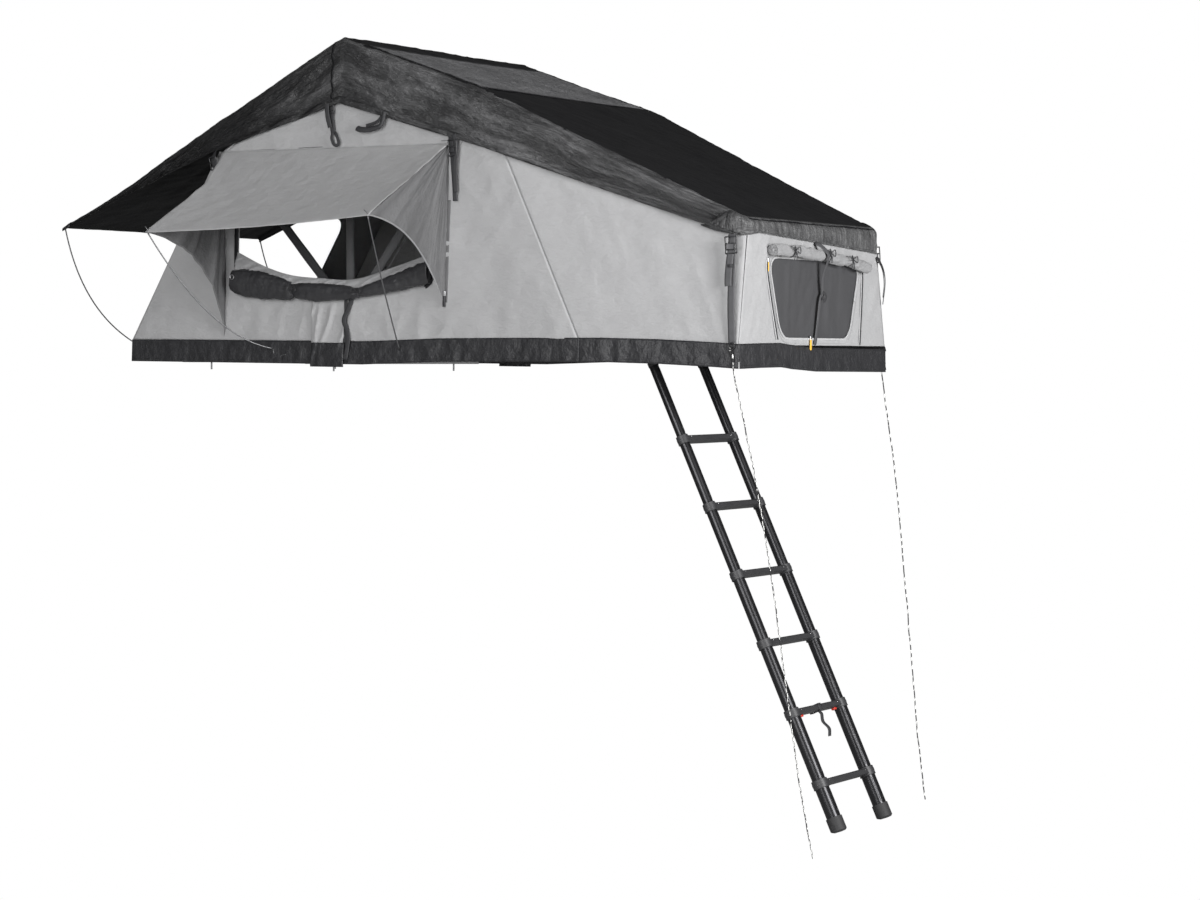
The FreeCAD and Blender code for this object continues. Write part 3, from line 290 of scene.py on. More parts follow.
def tube_object(name, points, radius, material, sides=8, caps=True, flatten=1.0):
    """A round or flattened tube along points; radius may be one number or one per point."""
    points = np.array(points, float)
    radius = np.broadcast_to(np.array(radius, float), (len(points),))
    tangents, side, over = frames_along(points, (0, 0, 1))
    angles = np.linspace(0, 2 * math.pi, sides, endpoint=False)
    ring = np.cos(angles)[None, :, None] * side[:, None] + flatten * np.sin(angles)[None, :, None] * over[:, None]
    grid = points[:, None] + ring * radius[:, None, None]
    piece = sheet_object(name, grid, material, wrap=True, thick=0)
    if caps:
        work = bmesh.new()
        work.from_mesh(piece.data)
        work.verts.ensure_lookup_table()
        last = (len(points) - 1) * sides
        work.faces.new([work.verts[i] for i in range(sides)])
        work.faces.new([work.verts[last + i] for i in reversed(range(sides))])
        bmesh.ops.recalc_face_normals(work, faces=work.faces)
        work.to_mesh(piece.data)
        work.free()
    return piece


def strap_object(name, points, width, material, facing, thick=0.0015):
    """A flat strap along points whose face looks along facing."""
    points = np.array(points, float)
    tangents = np.gradient(points, axis=0)
    across = np.cross(tangents, np.array(facing, float))
    across /= np.linalg.norm(across, axis=1)[:, None]
    grid = np.stack([points + across * width * s for s in (-0.5, -0.25, 0, 0.25, 0.5)], axis=1)
    return sheet_object(name, grid, material, thick=thick, offset=0.0)


def join(name, pieces):
    """Join several objects into one mesh, each keeping its own finish."""
    work = bmesh.new()
    materials = []
    for piece in pieces:
        slots = []
        for m in piece.data.materials:
            if m not in materials:
                materials.append(m)
            slots.append(materials.index(m))
        start = len(work.faces)
        work.from_mesh(piece.data)
        work.faces.ensure_lookup_table()
        for face in work.faces[start:]:
            face.material_index = slots[face.material_index]
    mesh = bpy.data.meshes.new(name)
    work.to_mesh(mesh)
    work.free()
    for m in materials:
        mesh.materials.append(m)
    for piece in pieces:
        bpy.data.objects.remove(piece)
    joined = bpy.data.objects.new(name, mesh)
    scene.collection.objects.link(joined)
    return joined


def rounded_block(name, low, high, radius, material):
    """A small moulded block with soft edges."""
    work = bmesh.new()
    bmesh.ops.create_cube(work, size=1.0)
    low, high = Vector(low), Vector(high)
    for vertex in work.verts:
        vertex.co = Vector((low[k] + (vertex.co[k] + 0.5) * (high[k] - low[k]) for k in range(3)))
    bmesh.ops.bevel(work, geom=list(work.edges), offset=radius, segments=3, affect="EDGES", profile=0.5)
    mesh = bpy.data.meshes.new(name)
    work.to_mesh(mesh)
    work.free()
    return finish_mesh(name, mesh, material)


# %% [markdown]
# ## Writing finishes as sums
#
# A finish is a small sum: a base colour times a bit of noise, a bump made of a weave plus some
# crinkle. The class below lets Python's own signs build the Math nodes, so a finish reads as the
# sum it is. Any other node comes from one method, with its settings first and its inputs after.

# %% A finish and its values
class Value:
    """One output socket that can be added, multiplied and compared like a number."""

    def __init__(self, finish, socket):
        self.finish = finish
        self.socket = socket

    def __add__(self, other):
        return self.finish.maths("ADD", self, other)

    def __sub__(self, other):
        return self.finish.maths("SUBTRACT", self, other)

    def __rsub__(self, other):
        return self.finish.maths("SUBTRACT", other, self)

    def __mul__(self, other):
        return self.finish.maths("MULTIPLY", self, other)

    def __gt__(self, other):
        return self.finish.maths("GREATER_THAN", self, other)

    def __lt__(self, other):
        return self.finish.maths("LESS_THAN", self, other)

    def __pow__(self, other):
        return self.finish.maths("POWER", self, other)

    __radd__ = __add__
    __rmul__ = __mul__


class Finish:
    """A material under construction, with one method for every kind of node."""

    def __init__(self, name):
        self.material = bpy.data.materials.new(name)
        self.material.use_nodes = True
        self.tree = self.material.node_tree
        self.shader = self.tree.nodes["Principled BSDF"]

    def node(self, kind, settings=None, inputs=None, output=0):
        made = self.tree.nodes.new("ShaderNode" + kind)
        for key, setting in (settings or {}).items():
            if key == "stops":
                self.set_stops(made.color_ramp, setting)
            else:
                setattr(made, key, setting)
        for key, value in (inputs or {}).items():
            self.feed(made.inputs[key], value)
        return Value(self, made.outputs[output])

    def set_stops(self, ramp, stops):
        while len(ramp.elements) < len(stops):
            ramp.elements.new(0.5)
        for element, (place, shade) in zip(ramp.elements, stops):
            element.position = place
            element.color = (shade, shade, shade, 1)

    def feed(self, socket, value):
        if isinstance(value, Value):
            self.tree.links.new(value.socket, socket)
        elif isinstance(value, tuple) and len(value) == 3 and socket.type == "RGBA":
            socket.default_value = (*value, 1)
        else:
            socket.default_value = value

    def maths(self, operation, first, second):
        return self.node("Math", {"operation": operation}, {0: first, 1: second})

    def place(self, scale=(1, 1, 1), turn=(0, 0, 0)):
        """Object coordinates, scaled and turned."""
        coordinates = self.node("TexCoord", output=3)
        return self.node("Mapping", None, {"Vector": coordinates, "Scale": scale, "Rotation": turn})

    def along_cloth(self, scale=(1, 1, 1)):
        """The sheet's own UV map, in metres, scaled."""
        return self.node("Mapping", None, {"Vector": self.node("UVMap", {"uv_map": "cloth"}), "Scale": scale})

    def clouds(self, where, scale, detail=3.0, rough=0.5):
        return self.node("TexNoise", None, {"Vector": where, "Scale": scale, "Detail": detail,
                                            "Roughness": rough})

    def blend(self, share, first, second):
        """A colour between two colours."""
        return self.node("Mix", {"data_type": "RGBA"}, {0: share, 6: first, 7: second}, output=2)

    def shape(self, height, strength, distance):
        """Bump the surface by a height."""
        bump = self.node("Bump", None, {"Height": height, "Strength": strength, "Distance": distance})
        self.set(Normal=bump)

    def set(self, **inputs):
        for key, value in inputs.items():
            self.feed(self.shader.inputs[key.replace("_", " ")], value)
        return self


def shade(colour, factor):
    return tuple(min(1.0, c * factor) for c in colour)


# %% [markdown]
# ## Cloth finishes
#
# The walls are a matt cotton canvas: a plain weave of about half a millimetre, slight mottling
# and soft crinkles. The fly and the skirt are coated polyester: nearly black, with a low sheen
# that catches every crease, and a faint square grid of stronger threads. Cloth that hangs in folds,
# on the fly's sides and the gussets, gets painted shade in its valleys and painted highlights on its
# crests along its own UV map. The fly's sides are painted as a lit copy of the fly cloth, and the
# gussets as shaded copies of the canvas.

# %% Canvas and coated cloth
def canvas_finish(name, colour, rough=0.86, creased=0.012):
    f = Finish(name)
    where = f.place()
    mottle = f.clouds(where, 9.0, 4.0, 0.6)
    fine = f.clouds(where, 260.0, 2.0, 0.7)
    share = mottle * 0.7 + fine * 0.3
    f.set(Base_Color=f.blend(share, shade(colour, 0.88), shade(colour, 1.12)),
          Roughness=rough - mottle * 0.06)
    thread = f.node("TexWave", {"wave_type": "BANDS", "bands_direction": "X"},
                    {"Vector": f.place((1, 1, 1), (0.2, 0.1, 0.3)), "Scale": 260.0, "Distortion": 1.5})
    weft = f.node("TexWave", {"wave_type": "BANDS", "bands_direction": "Z"},
                  {"Vector": where, "Scale": 260.0, "Distortion": 1.5})
    crinkle = f.clouds(f.place((1.0, 1.0, 1.6)), 16.0, 4.0, 0.55)
    f.shape(crinkle + (thread + weft) * 0.02 + fine * 0.03, 0.55, creased)
    f.set(Sheen_Weight=0.15)
    return f.material


def coated_finish(name, colour, rough=0.5, crinkle_depth=0.010, gloss=0.4):
    f = Finish(name)
    where = f.place()
    mottle = f.clouds(where, 6.0, 3.0, 0.5)
    fine = f.clouds(where, 420.0, 1.0, 0.5)
    f.set(Base_Color=f.blend(mottle, shade(colour, 0.8), shade(colour, 1.35)),
          Roughness=rough + fine * 0.12 - mottle * 0.08)
    crinkle = f.clouds(f.place((1.0, 1.2, 0.8)), 13.0, 5.0, 0.6)
    sharp = f.node("TexVoronoi", {"feature": "DISTANCE_TO_EDGE"},
                   {"Vector": f.place((1, 1, 1), (0.4, 0.2, 0.7)), "Scale": 9.0, "Randomness": 1.0})
    grid = f.node("TexBrick", {"offset": 0.0, "squash": 1.0},
                  {"Vector": f.place((1, 1, 1)), "Scale": 90.0, "Mortar Size": 0.04}, output=1)
    f.shape(crinkle + sharp * 0.5 + grid * 0.01, 0.6, crinkle_depth)
    f.set(Specular_IOR_Level=gloss)
    return f.material


CANVAS_GREY = (0.335, 0.335, 0.340)
canvas = canvas_finish("canvas_grey", CANVAS_GREY)


def gusset_finish(name, dark, pale):
    """Canvas that hangs in folds from one corner, painted darker than the wall canvas as shade, with painted shade
    in its valleys and painted highlights on its crests.
    """
    f = Finish(name)
    fold = f.clouds(f.along_cloth((13, 1.3, 1)), 1.0, 3.0, 0.5)
    fine = f.clouds(f.place(), 30.0, 4.0, 0.6)
    crest = f.node("ValToRGB", {"stops": [(0.36, 0.0), (0.66, 1.0)]}, {0: fold})
    # Painted light: fold crests blend towards the pale tone as painted highlights, valleys towards the dark tone
    # as painted shade.
    f.set(Base_Color=f.blend(crest * 0.85 + fine * 0.15, dark, pale), Roughness=0.86 - fine * 0.06)
    f.shape(fold * 1.6 + fine * 0.3, 0.9, 0.030)
    return f.material


# Both gussets are the grey canvas in painted shade, the rear one darkest.
gusset_left_painted_shade = gusset_finish("gusset_rear_painted_shade", (0.040, 0.040, 0.041), (0.135, 0.135, 0.138))
gusset_right_painted_shade = gusset_finish("gusset_front_painted_shade", (0.080, 0.080, 0.082), (0.135, 0.135, 0.138))
canvas_dark = canvas_finish("canvas_dark", (0.115, 0.115, 0.118))
storm_cloth = canvas_finish("storm_flap_grey", (0.27, 0.27, 0.275), 0.86, 0.030)
lining_grey = canvas_finish("flap_lining_grey", (0.30, 0.30, 0.305))
fly_cloth = coated_finish("fly_black", (0.0095, 0.0095, 0.0105), 0.45, 0.008, 0.12)


def flank_finish(name, dark, pale):
    """The fly's hanging sides: a copy of the fly cloth painted paler as light, paler still towards the porch end,
    with painted highlights on the crests of its long pulled creases.
    """
    f = Finish(name)
    along = f.node("SeparateXYZ", None, {"Vector": f.place()})
    reach = f.node("MapRange", None, {"Value": along, "From Min": 0.05, "From Max": 0.75})
    wander = f.clouds(f.along_cloth((3, 3, 1)), 1.0, 2.0, 0.5)
    bent = f.node("VectorMath", {"operation": "MULTIPLY_ADD"},
                  {0: (0.9, 0.5, 0), 1: wander, 2: f.along_cloth((17, 2.0, 1))})
    streak = f.clouds(bent, 1.0, 6.0, 0.62)
    fine = f.clouds(f.along_cloth((60, 16, 1)), 1.0, 4.0, 0.6)
    crest = f.node("ValToRGB", {"stops": [(0.46, 0.0), (0.70, 1.0)]}, {0: streak * 0.86 + fine * 0.14})
    share = crest * (reach * 0.85 + 0.10)
    # Painted light: reach makes the sides paler towards +X, and the crests of the creases get painted highlights.
    f.set(Base_Color=f.blend(share + reach * 0.20, dark, pale), Roughness=0.46 - crest * 0.12)
    f.shape(streak * 1.5 + fine * 0.3, 1.0, 0.040)
    f.set(Specular_IOR_Level=0.5)
    return f.material


fly_flank_painted_light = flank_finish("fly_flank_black_painted_light", (0.006, 0.006, 0.0065), (0.125, 0.125, 0.128))
skirt_cloth = coated_finish("skirt_black", (0.023, 0.023, 0.025), 0.42, 0.030, 0.30)
pouch_cloth = coated_finish("pouch_black", (0.026, 0.026, 0.028), 0.34, 0.016, 0.5)

# %% [markdown]
# ## Mesh, webbing and rope
#
# The insect mesh lets some light through, so its finish is partly clear in a fine grid. Webbing
# shows its ribs along the strap. The guy rope is braided from black and white yarns: two sets of
# spiral bands on the tube's own UV map cross each other and leave small diamonds.

# %% Mesh, webbing and rope
def mesh_finish(name, colour, cover):
    f = Finish(name)
    threads = f.node("TexWave", {"bands_direction": "Y"}, {"Vector": f.place(), "Scale": 160.0})
    cross = f.node("TexWave", {"bands_direction": "Z"}, {"Vector": f.place(), "Scale": 160.0})
    weave = f.maths("MAXIMUM", threads, cross)
    soft = f.clouds(f.place((1, 5.0, 0.8), (0.35, 0, 0)), 5.0, 3.0)
    f.set(Base_Color=f.blend(soft, shade(colour, 0.8), shade(colour, 1.3)),
          Alpha=cover + (weave > 0.82) * (1 - cover) * 0.6, Roughness=0.6 + soft * 0.1)
    f.shape(weave, 0.4, 0.0006)
    return f.material


def webbing_finish(name, colour):
    f = Finish(name)
    rib = f.node("TexWave", {"bands_direction": "X"}, {"Vector": f.along_cloth(), "Scale": 95.0})
    pick = f.node("TexWave", {"bands_direction": "Y"}, {"Vector": f.along_cloth(), "Scale": 170.0})
    worn = f.clouds(f.place(), 40.0)
    f.set(Base_Color=f.blend(rib * 0.5 + worn * 0.4, shade(colour, 0.7), shade(colour, 1.9)),
          Roughness=0.55 + pick * 0.15)
    f.shape(rib + pick * 0.5, 0.5, 0.0006)
    return f.material


def braid_finish(name):
    f = Finish(name)
    left = f.node("TexWave", {"bands_direction": "DIAGONAL", "wave_profile": "SAW"},
                  {"Vector": f.along_cloth((1.0, 0.7, 1)), "Scale": 26.0})
    right_hand = f.node("TexWave", {"bands_direction": "DIAGONAL"},
                        {"Vector": f.along_cloth((-1.0, 0.7, 1)), "Scale": 52.0})
    yarn = f.node("TexNoise", None, {"Vector": f.along_cloth((60, 34, 1)), "Scale": 1.0, "Detail": 0.0})
    white = f.maths("MULTIPLY", left > 0.52, yarn > 0.44)
    f.set(Base_Color=f.blend(white, (0.010, 0.010, 0.011), (0.80, 0.80, 0.78)), Roughness=0.7 + yarn * 0.1)
    f.shape(right_hand + left * 0.5, 0.6, 0.0008)
    return f.material


end_mesh = mesh_finish("insect_mesh", (0.050, 0.050, 0.053), 0.95)
webbing = webbing_finish("webbing_black", (0.022, 0.022, 0.024))
webbing_grey = webbing_finish("webbing_grey", (0.052, 0.052, 0.055))
braid = braid_finish("rope_braid")

# %% [markdown]
# ## Metal, plastic and rubber
#
# The ladder is black anodised tube with moulded steps. Painted and anodised metal is never one
# flat tone: fine scratches and fingerprints move its roughness, and cloudy patches move its colour.

# %% Hard finishes
def coated_metal(name, colour, rough, metallic, grain_scale=30.0):
    f = Finish(name)
    cloudy = f.clouds(f.place(), 7.0, 4.0, 0.6)
    grain = f.clouds(f.place((1, 1, 0.05)), grain_scale * 12, 2.0, 0.6)
    f.set(Base_Color=f.blend(cloudy * 0.6 + grain * 0.4, shade(colour, 0.78), shade(colour, 1.3)),
          Roughness=rough + cloudy * 0.12 + grain * 0.06, Metallic=metallic)
    f.shape(grain, 0.15, 0.0004)
    return f.material


def moulded(name, colour, rough):
    f = Finish(name)
    pebble = f.clouds(f.place(), 900.0, 2.0, 0.6)
    worn = f.clouds(f.place(), 18.0, 4.0, 0.6)
    f.set(Base_Color=f.blend(worn, shade(colour, 0.8), shade(colour, 1.35)),
          Roughness=rough + worn * 0.12)
    f.shape(pebble, 0.25, 0.0003)
    return f.material


anodised = coated_metal("anodised_black", (0.030, 0.030, 0.032), 0.20, 0.75, 2.0)
hoop_paint = coated_metal("hoop_paint", (0.10, 0.10, 0.105), 0.42, 0.2)
bracket_paint = coated_metal("bracket_black", (0.03, 0.03, 0.031), 0.45, 0.2)
bright_steel = coated_metal("bright_steel", (0.55, 0.55, 0.56), 0.28, 0.95)
rod_steel = coated_metal("rod_steel", (0.16, 0.16, 0.165), 0.35, 0.8)
extrusion = coated_metal("frame_extrusion", (0.55, 0.55, 0.57), 0.35, 0.9)
step_plastic = moulded("step_plastic", (0.030, 0.030, 0.032), 0.42)
dark_plastic = moulded("buckle_plastic", (0.018, 0.018, 0.02), 0.35)
buckle_grey = moulded("buckle_grey", (0.10, 0.10, 0.105), 0.3)
rubber = moulded("foot_rubber", (0.020, 0.020, 0.021), 0.62)
red_plastic = moulded("button_red", (0.52, 0.035, 0.02), 0.35)
yellow_plastic = moulded("pull_yellow", (0.72, 0.42, 0.05), 0.4)
floor_board = moulded("floor_board", (0.42, 0.42, 0.43), 0.5)
mattress_cover = canvas_finish("mattress_cover", (0.20, 0.20, 0.21), 0.9)

light_rail = coated_metal("rail_pale", (0.42, 0.42, 0.43), 0.5, 0.3)
CAD_FINISH = {
    "mount_rails": light_rail, "rack_bolts": light_rail, "inner_frame": extrusion,
    "outer_frame": extrusion, "inner_board": floor_board, "outer_board": floor_board,
    "hinge_plates_inner": bracket_paint, "hinge_plates_outer": bracket_paint, "hinge_pins": bright_steel,
    "end_brackets": bracket_paint, "ladder_bracket": bracket_paint, "rear_hoop": hoop_paint,
    "centre_hoop": hoop_paint, "front_hoop": hoop_paint, "end_hoop": hoop_paint,
    "ladder_hanger": bracket_paint, "ladder_feet": rubber, "ladder_button_near": red_plastic,
    "ladder_button_far": red_plastic, "zip_slider": yellow_plastic,
}
for section in range(1, 8):
    CAD_FINISH[f"ladder_tubes_{section}"] = anodised
    if section > 1:
        CAD_FINISH[f"ladder_rung_{section}"] = step_plastic
for node, finish in CAD_FINISH.items():
    nodes[node].data.materials.clear()
    nodes[node].data.materials.append(finish)
print("finishes on", len(CAD_FINISH), "rigid pieces")

# %% [markdown]
# ## How the cloth rides on the tent
#
# All the canvas and the fly hang on the centre hoop. When the base folds, that hoop lies down, and
# every sheet follows the hoop's body.

# %% Attach cloth to its body
cloth_pieces = []


def dress(piece, body, *replaced, gathers=True):
    """Ride a body, take over from CAD solids, and take a mesh of its own when gathers is set."""
    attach(piece, body)
    if replaced:
        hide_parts(*replaced)
    if gathers:
        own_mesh(piece)
    cloth_pieces.append(piece.name)
    return piece


def offset_patch(grid, rows, columns, off):
    """Part of a grid, moved a little along its normals, for tapes and patches."""
    moved = grid + grid_normals(grid) * off
    return moved[rows[0]:rows[1], columns[0]:columns[1]]


# %% [markdown]
# ## The rainfly
#
# The fly is one long sheet, drawn over three hoops and stretched to a point at the rear. Each
# cross-section is an upside-down U with soft shoulders. The sections are joined along the tent,
# the roof sags a little between hoops, and pull lines run out from the peak's corners where the
# cloth is tightest.

# %% Shape the rainfly
def porch_y(x, z):
    """Outer face of the twisted porch wall at one place, by halving."""
    low, high = 0.0, 1.2
    for _ in range(40):
        t = (low + high) / 2
        p = PORCH_SEAM[0] + (PORCH_SEAM[1] - PORCH_SEAM[0]) * t
        q = PORCH_EDGE[0] + (PORCH_EDGE[1] - PORCH_EDGE[0]) * t
        along = (x - p[0]) / (q[0] - p[0])
        if p[2] + (q[2] - p[2]) * along < z:
            low = t
        else:
            high = t
    return p[1] + (q[1] - p[1]) * along + CLOTH


PORCH_SEAM = (np.array([BASE_FRONT + 0.001, 0.697, 0.101]), np.array([1.307, 0.6865, 1.101]))
PORCH_EDGE = (np.array([PORCH_X - 0.001, 0.626, 0.101]), np.array([2.485, 0.549, 0.555]))
FLY_LIFT = 0.009
FLY_SHOULDER = 0.028
FRONT_STATION = (FRONT_TOP[0] + 0.006, FRONT_TOP[1] + FLY_LIFT, 0.697, 0.699, 0.905)
END_STATION = (PORCH_TOP[0] + 0.006, PORCH_TOP[1] + FLY_LIFT, 0.560, 0.573, 0.515)


def porch_station(along):
    """A section of the fly between the front hoop and the end, just off the porch walls."""
    x, top, _, _, hem = [a + (b - a) * along for a, b in zip(FRONT_STATION, END_STATION)]
    return x, top, porch_y(x, top - 0.022) + 0.006, porch_y(x, hem) + 0.006, hem


FLY_STATIONS = np.array([
    (FLY_TIP[0], FLY_TIP[1], 0.697, 0.697, FLY_TIP[1] - 0.014),
    (-0.690, 0.759, 0.698, 0.698, 0.724),
    (REAR_TOP[0] - 0.040, 1.046, 0.698, 0.699, 0.922),
    (CENTRE_TOP[0] - 0.003, CENTRE_TOP[1] + FLY_LIFT, 0.697, 0.699, 1.112),
    FRONT_STATION, porch_station(0.117), porch_station(0.328), porch_station(0.649), END_STATION])


END_ROUND = 0.060
END_HALF = float(np.interp(END_STATION[0] - END_ROUND, FLY_STATIONS[:, 0], FLY_STATIONS[:, 3]))


def fly_section(x, across):
    """Points of one cross-section; across runs from -1, the near hem, to 1, the far hem."""
    top, w_top, w_hem, hem = [np.interp(x, FLY_STATIONS[:, 0], FLY_STATIONS[:, k]) for k in (1, 2, 3, 4)]
    radius = min(FLY_SHOULDER, (top - hem) * 0.6)
    s = np.abs(across)
    hang, bend = 0.84, 0.80
    out = np.zeros((len(across), 3))
    out[:, 0] = x
    flank = np.clip((s - hang) / (1 - hang), 0, 1)
    y = np.interp(s, [0, bend], [0, w_top - radius])
    z = np.full(len(across), top)
    turn_share = np.clip((s - bend) / (hang - bend), 0, 1) * math.pi / 2
    corner = s > bend
    y[corner] = (w_top - radius + radius * np.sin(turn_share))[corner]
    z[corner] = (top - radius + radius * np.cos(turn_share))[corner]
    down = s > hang
    y[down] = (w_top + (w_hem - w_top) * flank)[down]
    z[down] = (top - radius - (top - radius - hem) * flank)[down]
    out[:, 1] = y * np.sign(across)
    out[:, 2] = z
    return out


def fly_sag(x, across):
    """How far the roof drops between hoops and towards its middle."""
    hoops = FLY_STATIONS[[0, 2, 3, 4, 8], 0]
    depth = [0.006, 0.012, 0.014, 0.012]
    k = min(max(int(np.searchsorted(hoops, x)) - 1, 0), 3)
    t = np.clip((x - hoops[k]) / (hoops[k + 1] - hoops[k]), 0, 1)
    return depth[k] * np.sin(math.pi * t) * np.clip(1 - np.abs(across) / 0.8, 0, 1) ** 0.7


def fly_top(x):
    return np.interp(x, FLY_STATIONS[:, 0], FLY_STATIONS[:, 1])


def round_end(grid):
    """Draw the porch corners of the fly in, so that its end turns in a curve."""
    past = np.clip((np.abs(grid[..., 1]) - (END_HALF - END_ROUND)) / END_ROUND, 0, 1)
    short = END_ROUND * (1 - np.sqrt(1 - past ** 2))
    pull = short * np.clip((grid[..., 0] - 2.25) / (END_STATION[0] - 2.25), 0, 1)
    grid[..., 0] -= pull
    grid[..., 2] += pull * 0.44
    return grid


def fly_surface(xs, across, crease=1.0):
    """The fly's outer face with its sag, pull lines and small crinkles."""
    grid = np.stack([fly_section(x, across) for x in xs])
    for i, x in enumerate(xs):
        grid[i, :, 2] -= fly_sag(x, across)
    grid = round_end(grid)
    points = grid.reshape(-1, 3)
    x, y, z = points.T
    side = np.sign(y)
    lift = np.zeros(len(points))
    for cx, cz, strength in ((CENTRE_TOP[0], CENTRE_TOP[1], 1.0), (FRONT_TOP[0], FRONT_TOP[1], 0.6),
                             (REAR_TOP[0], 1.046, 0.5)):
        dx, dy = x - cx, np.abs(y) - 0.70
        away = np.sqrt(dx ** 2 + dy ** 2 + (z - cz) ** 2) + 1e-6
        angle = np.arctan2(dy, dx) * 7.0
        ray = noise(np.stack([angle, away * 1.3, side * 3.7 + cx * 5], axis=1))
        lift += strength * 0.0050 * ray * np.exp(-away / 0.33) * np.clip(away / 0.05, 0, 1)
    lift += 0.0022 * folds(points, (1.0, 0.25, 0), 0.55, 0.085, 1)
    lift += 0.0014 * folds(points, (0.6, 1.0, 0.2), 0.30, 0.045, 2)
    lift += 0.0030 * noise(points * np.array([3.2, 2.4, 3.2]) + 9)
    rear = np.clip((-0.10 - x) / 0.3, 0, 1)
    lift += rear * 0.0045 * folds(points, (1.0, 0.05, 0.5), 1.1, 0.16, 5)
    flank = np.clip((fly_top(x) - 0.020 - z) / 0.02, 0, 1)
    slope = np.where(x < 0.55, 0.62, -0.44)
    drawn = np.stack([x, 0 * x, (z - slope * x)], axis=1)
    lift += flank * 0.0075 * folds(drawn, (1.0, 0, 0.06), 0.55, 0.052, 6)
    lift += flank * 0.0045 * folds(drawn, (1.0, 0, 0.25), 0.30, 0.034, 7)
    lift += flank * 0.0030 * folds(drawn, (1.0, 0, -0.55), 0.22, 0.030, 8)
    lift = np.maximum(lift, -0.0045) * crease
    edge = np.minimum(1, np.minimum(np.abs(x - xs[0]), np.abs(x - xs[-1])) / 0.04)
    moved = points + grid_normals(grid).reshape(-1, 3) * (lift * (0.35 + 0.65 * edge))[:, None]
    return moved.reshape(grid.shape)


FLY_COLUMNS = np.concatenate([np.linspace(-1, -0.84, 17), np.linspace(-0.832, -0.80, 5),
                              np.linspace(-0.79, 0.79, 92), np.linspace(0.80, 0.832, 5),
                              np.linspace(0.84, 1, 17)])
fly_xs = np.linspace(FLY_STATIONS[0, 0], FLY_STATIONS[-1, 0], 300)
fly_grid = fly_surface(fly_xs, FLY_COLUMNS)
fly_sheet = sheet_object("rainfly", fly_grid, fly_cloth, thick=0.0012, offset=-1.0)
# Faces on the outer sides of the fly take the painted-light copy of its cloth.
fly_sheet.data.materials.append(fly_flank_painted_light)
for face in fly_sheet.data.polygons:
    middle = face.center
    outwards = face.normal.y * middle.y > 0
    if abs(face.normal.y) > 0.35 and outwards:
        face.material_index = 1
print("fly area", round(grid_area(fly_grid), 2), "m2, normals up:",
      bool(grid_normals(fly_grid)[150, 60, 2] > 0))

# %% [markdown]
# ### Skylight, hems and the end band
#
# The front roof slope has a big clear skylight under fine grey net. It is a patch that follows
# the fly a millimetre above it, crinkled and speckled. Hems are narrow tapes laid the same way.
# At the porch end the fly turns down as a band of the black fly painted paler as light, whose hem dips towards one
# corner.

# %% Finishes of the skylight and the tapes
def skylight_finish():
    f = Finish("skylight_net")
    where = f.place()
    spots = f.clouds(where, 210.0, 3.0, 0.7)
    coarse = f.clouds(f.place((1, 1, 1), (0.3, 0.6, 0.1)), 70.0, 4.0, 0.7)
    cells = f.node("TexVoronoi", {"feature": "DISTANCE_TO_EDGE"}, {"Vector": where, "Scale": 60.0})
    broad = f.clouds(where, 5.0, 2.0)
    speckle = spots * 0.55 + coarse * 0.6 + broad * 0.35
    share = f.node("ValToRGB", {"stops": [(0.55, 0.0), (0.95, 1.0)]}, {0: speckle})
    f.set(Base_Color=f.blend(share, (0.040, 0.040, 0.043), (0.33, 0.33, 0.34)),
          Roughness=0.42 - coarse * 0.2)
    f.shape(coarse + cells * 0.8 + spots * 0.3, 0.8, 0.004)
    return f.material


skylight_net = skylight_finish()
tape_black = coated_finish("tape_black", (0.016, 0.016, 0.018), 0.42, 0.002)
seam_grey = canvas_finish("seam_grey", (0.19, 0.19, 0.195))
binding_grey = canvas_finish("binding_grey", (0.40, 0.40, 0.405))

# %% [markdown]
# ### Skylight
#
# The patch asks the fly's own function for its points, so it lies on every sag and pull line.
# A finer crumple is added inside its taped rim.

# %% Lay the skylight on the front roof slope
SKY_X = (0.690, 1.272)
sky_xs = np.linspace(SKY_X[0], SKY_X[1], 90)
sky_across = np.linspace(-0.775, 0.775, 150)
sky_grid = fly_surface(sky_xs, sky_across)
rumple = sky_grid.reshape(-1, 3)
crinkle = 0.0016 * folds(rumple, (0.3, 1, 0), 0.05, 0.022, 11) + 0.0010 * noise(rumple * 55)
inset = np.minimum(np.linspace(0, 1, 90)[:, None], 1 - np.linspace(0, 1, 90)[:, None]) * 12
inset = np.clip(np.minimum(inset, np.minimum(np.linspace(0, 1, 150), 1 - np.linspace(0, 1, 150)) * 26), 0, 1)
sky_grid[..., 2] += 0.0022 + (crinkle.reshape(90, 150) + 0.001) * inset
sky_patch = sheet_object("skylight", sky_grid, skylight_net, thick=0.0012, offset=-1.0)

rim_lines = [sky_grid[0], sky_grid[-1], sky_grid[:, 0], sky_grid[:, -1]]
rims = [strap_object(f"rim_{i}", line + np.array([0, 0, 0.0014]), 0.016, tape_black, (0.3, 0, 1.0), 0.001)
        for i, line in enumerate(rim_lines)]
sky_rim = join("skylight_rim", rims)

# %% [markdown]
# ### Hems
#
# A hem is the edge of the fly once more, a millimetre further out. It could be a strap along a
# line, but a strip of the same grid follows the creases exactly.

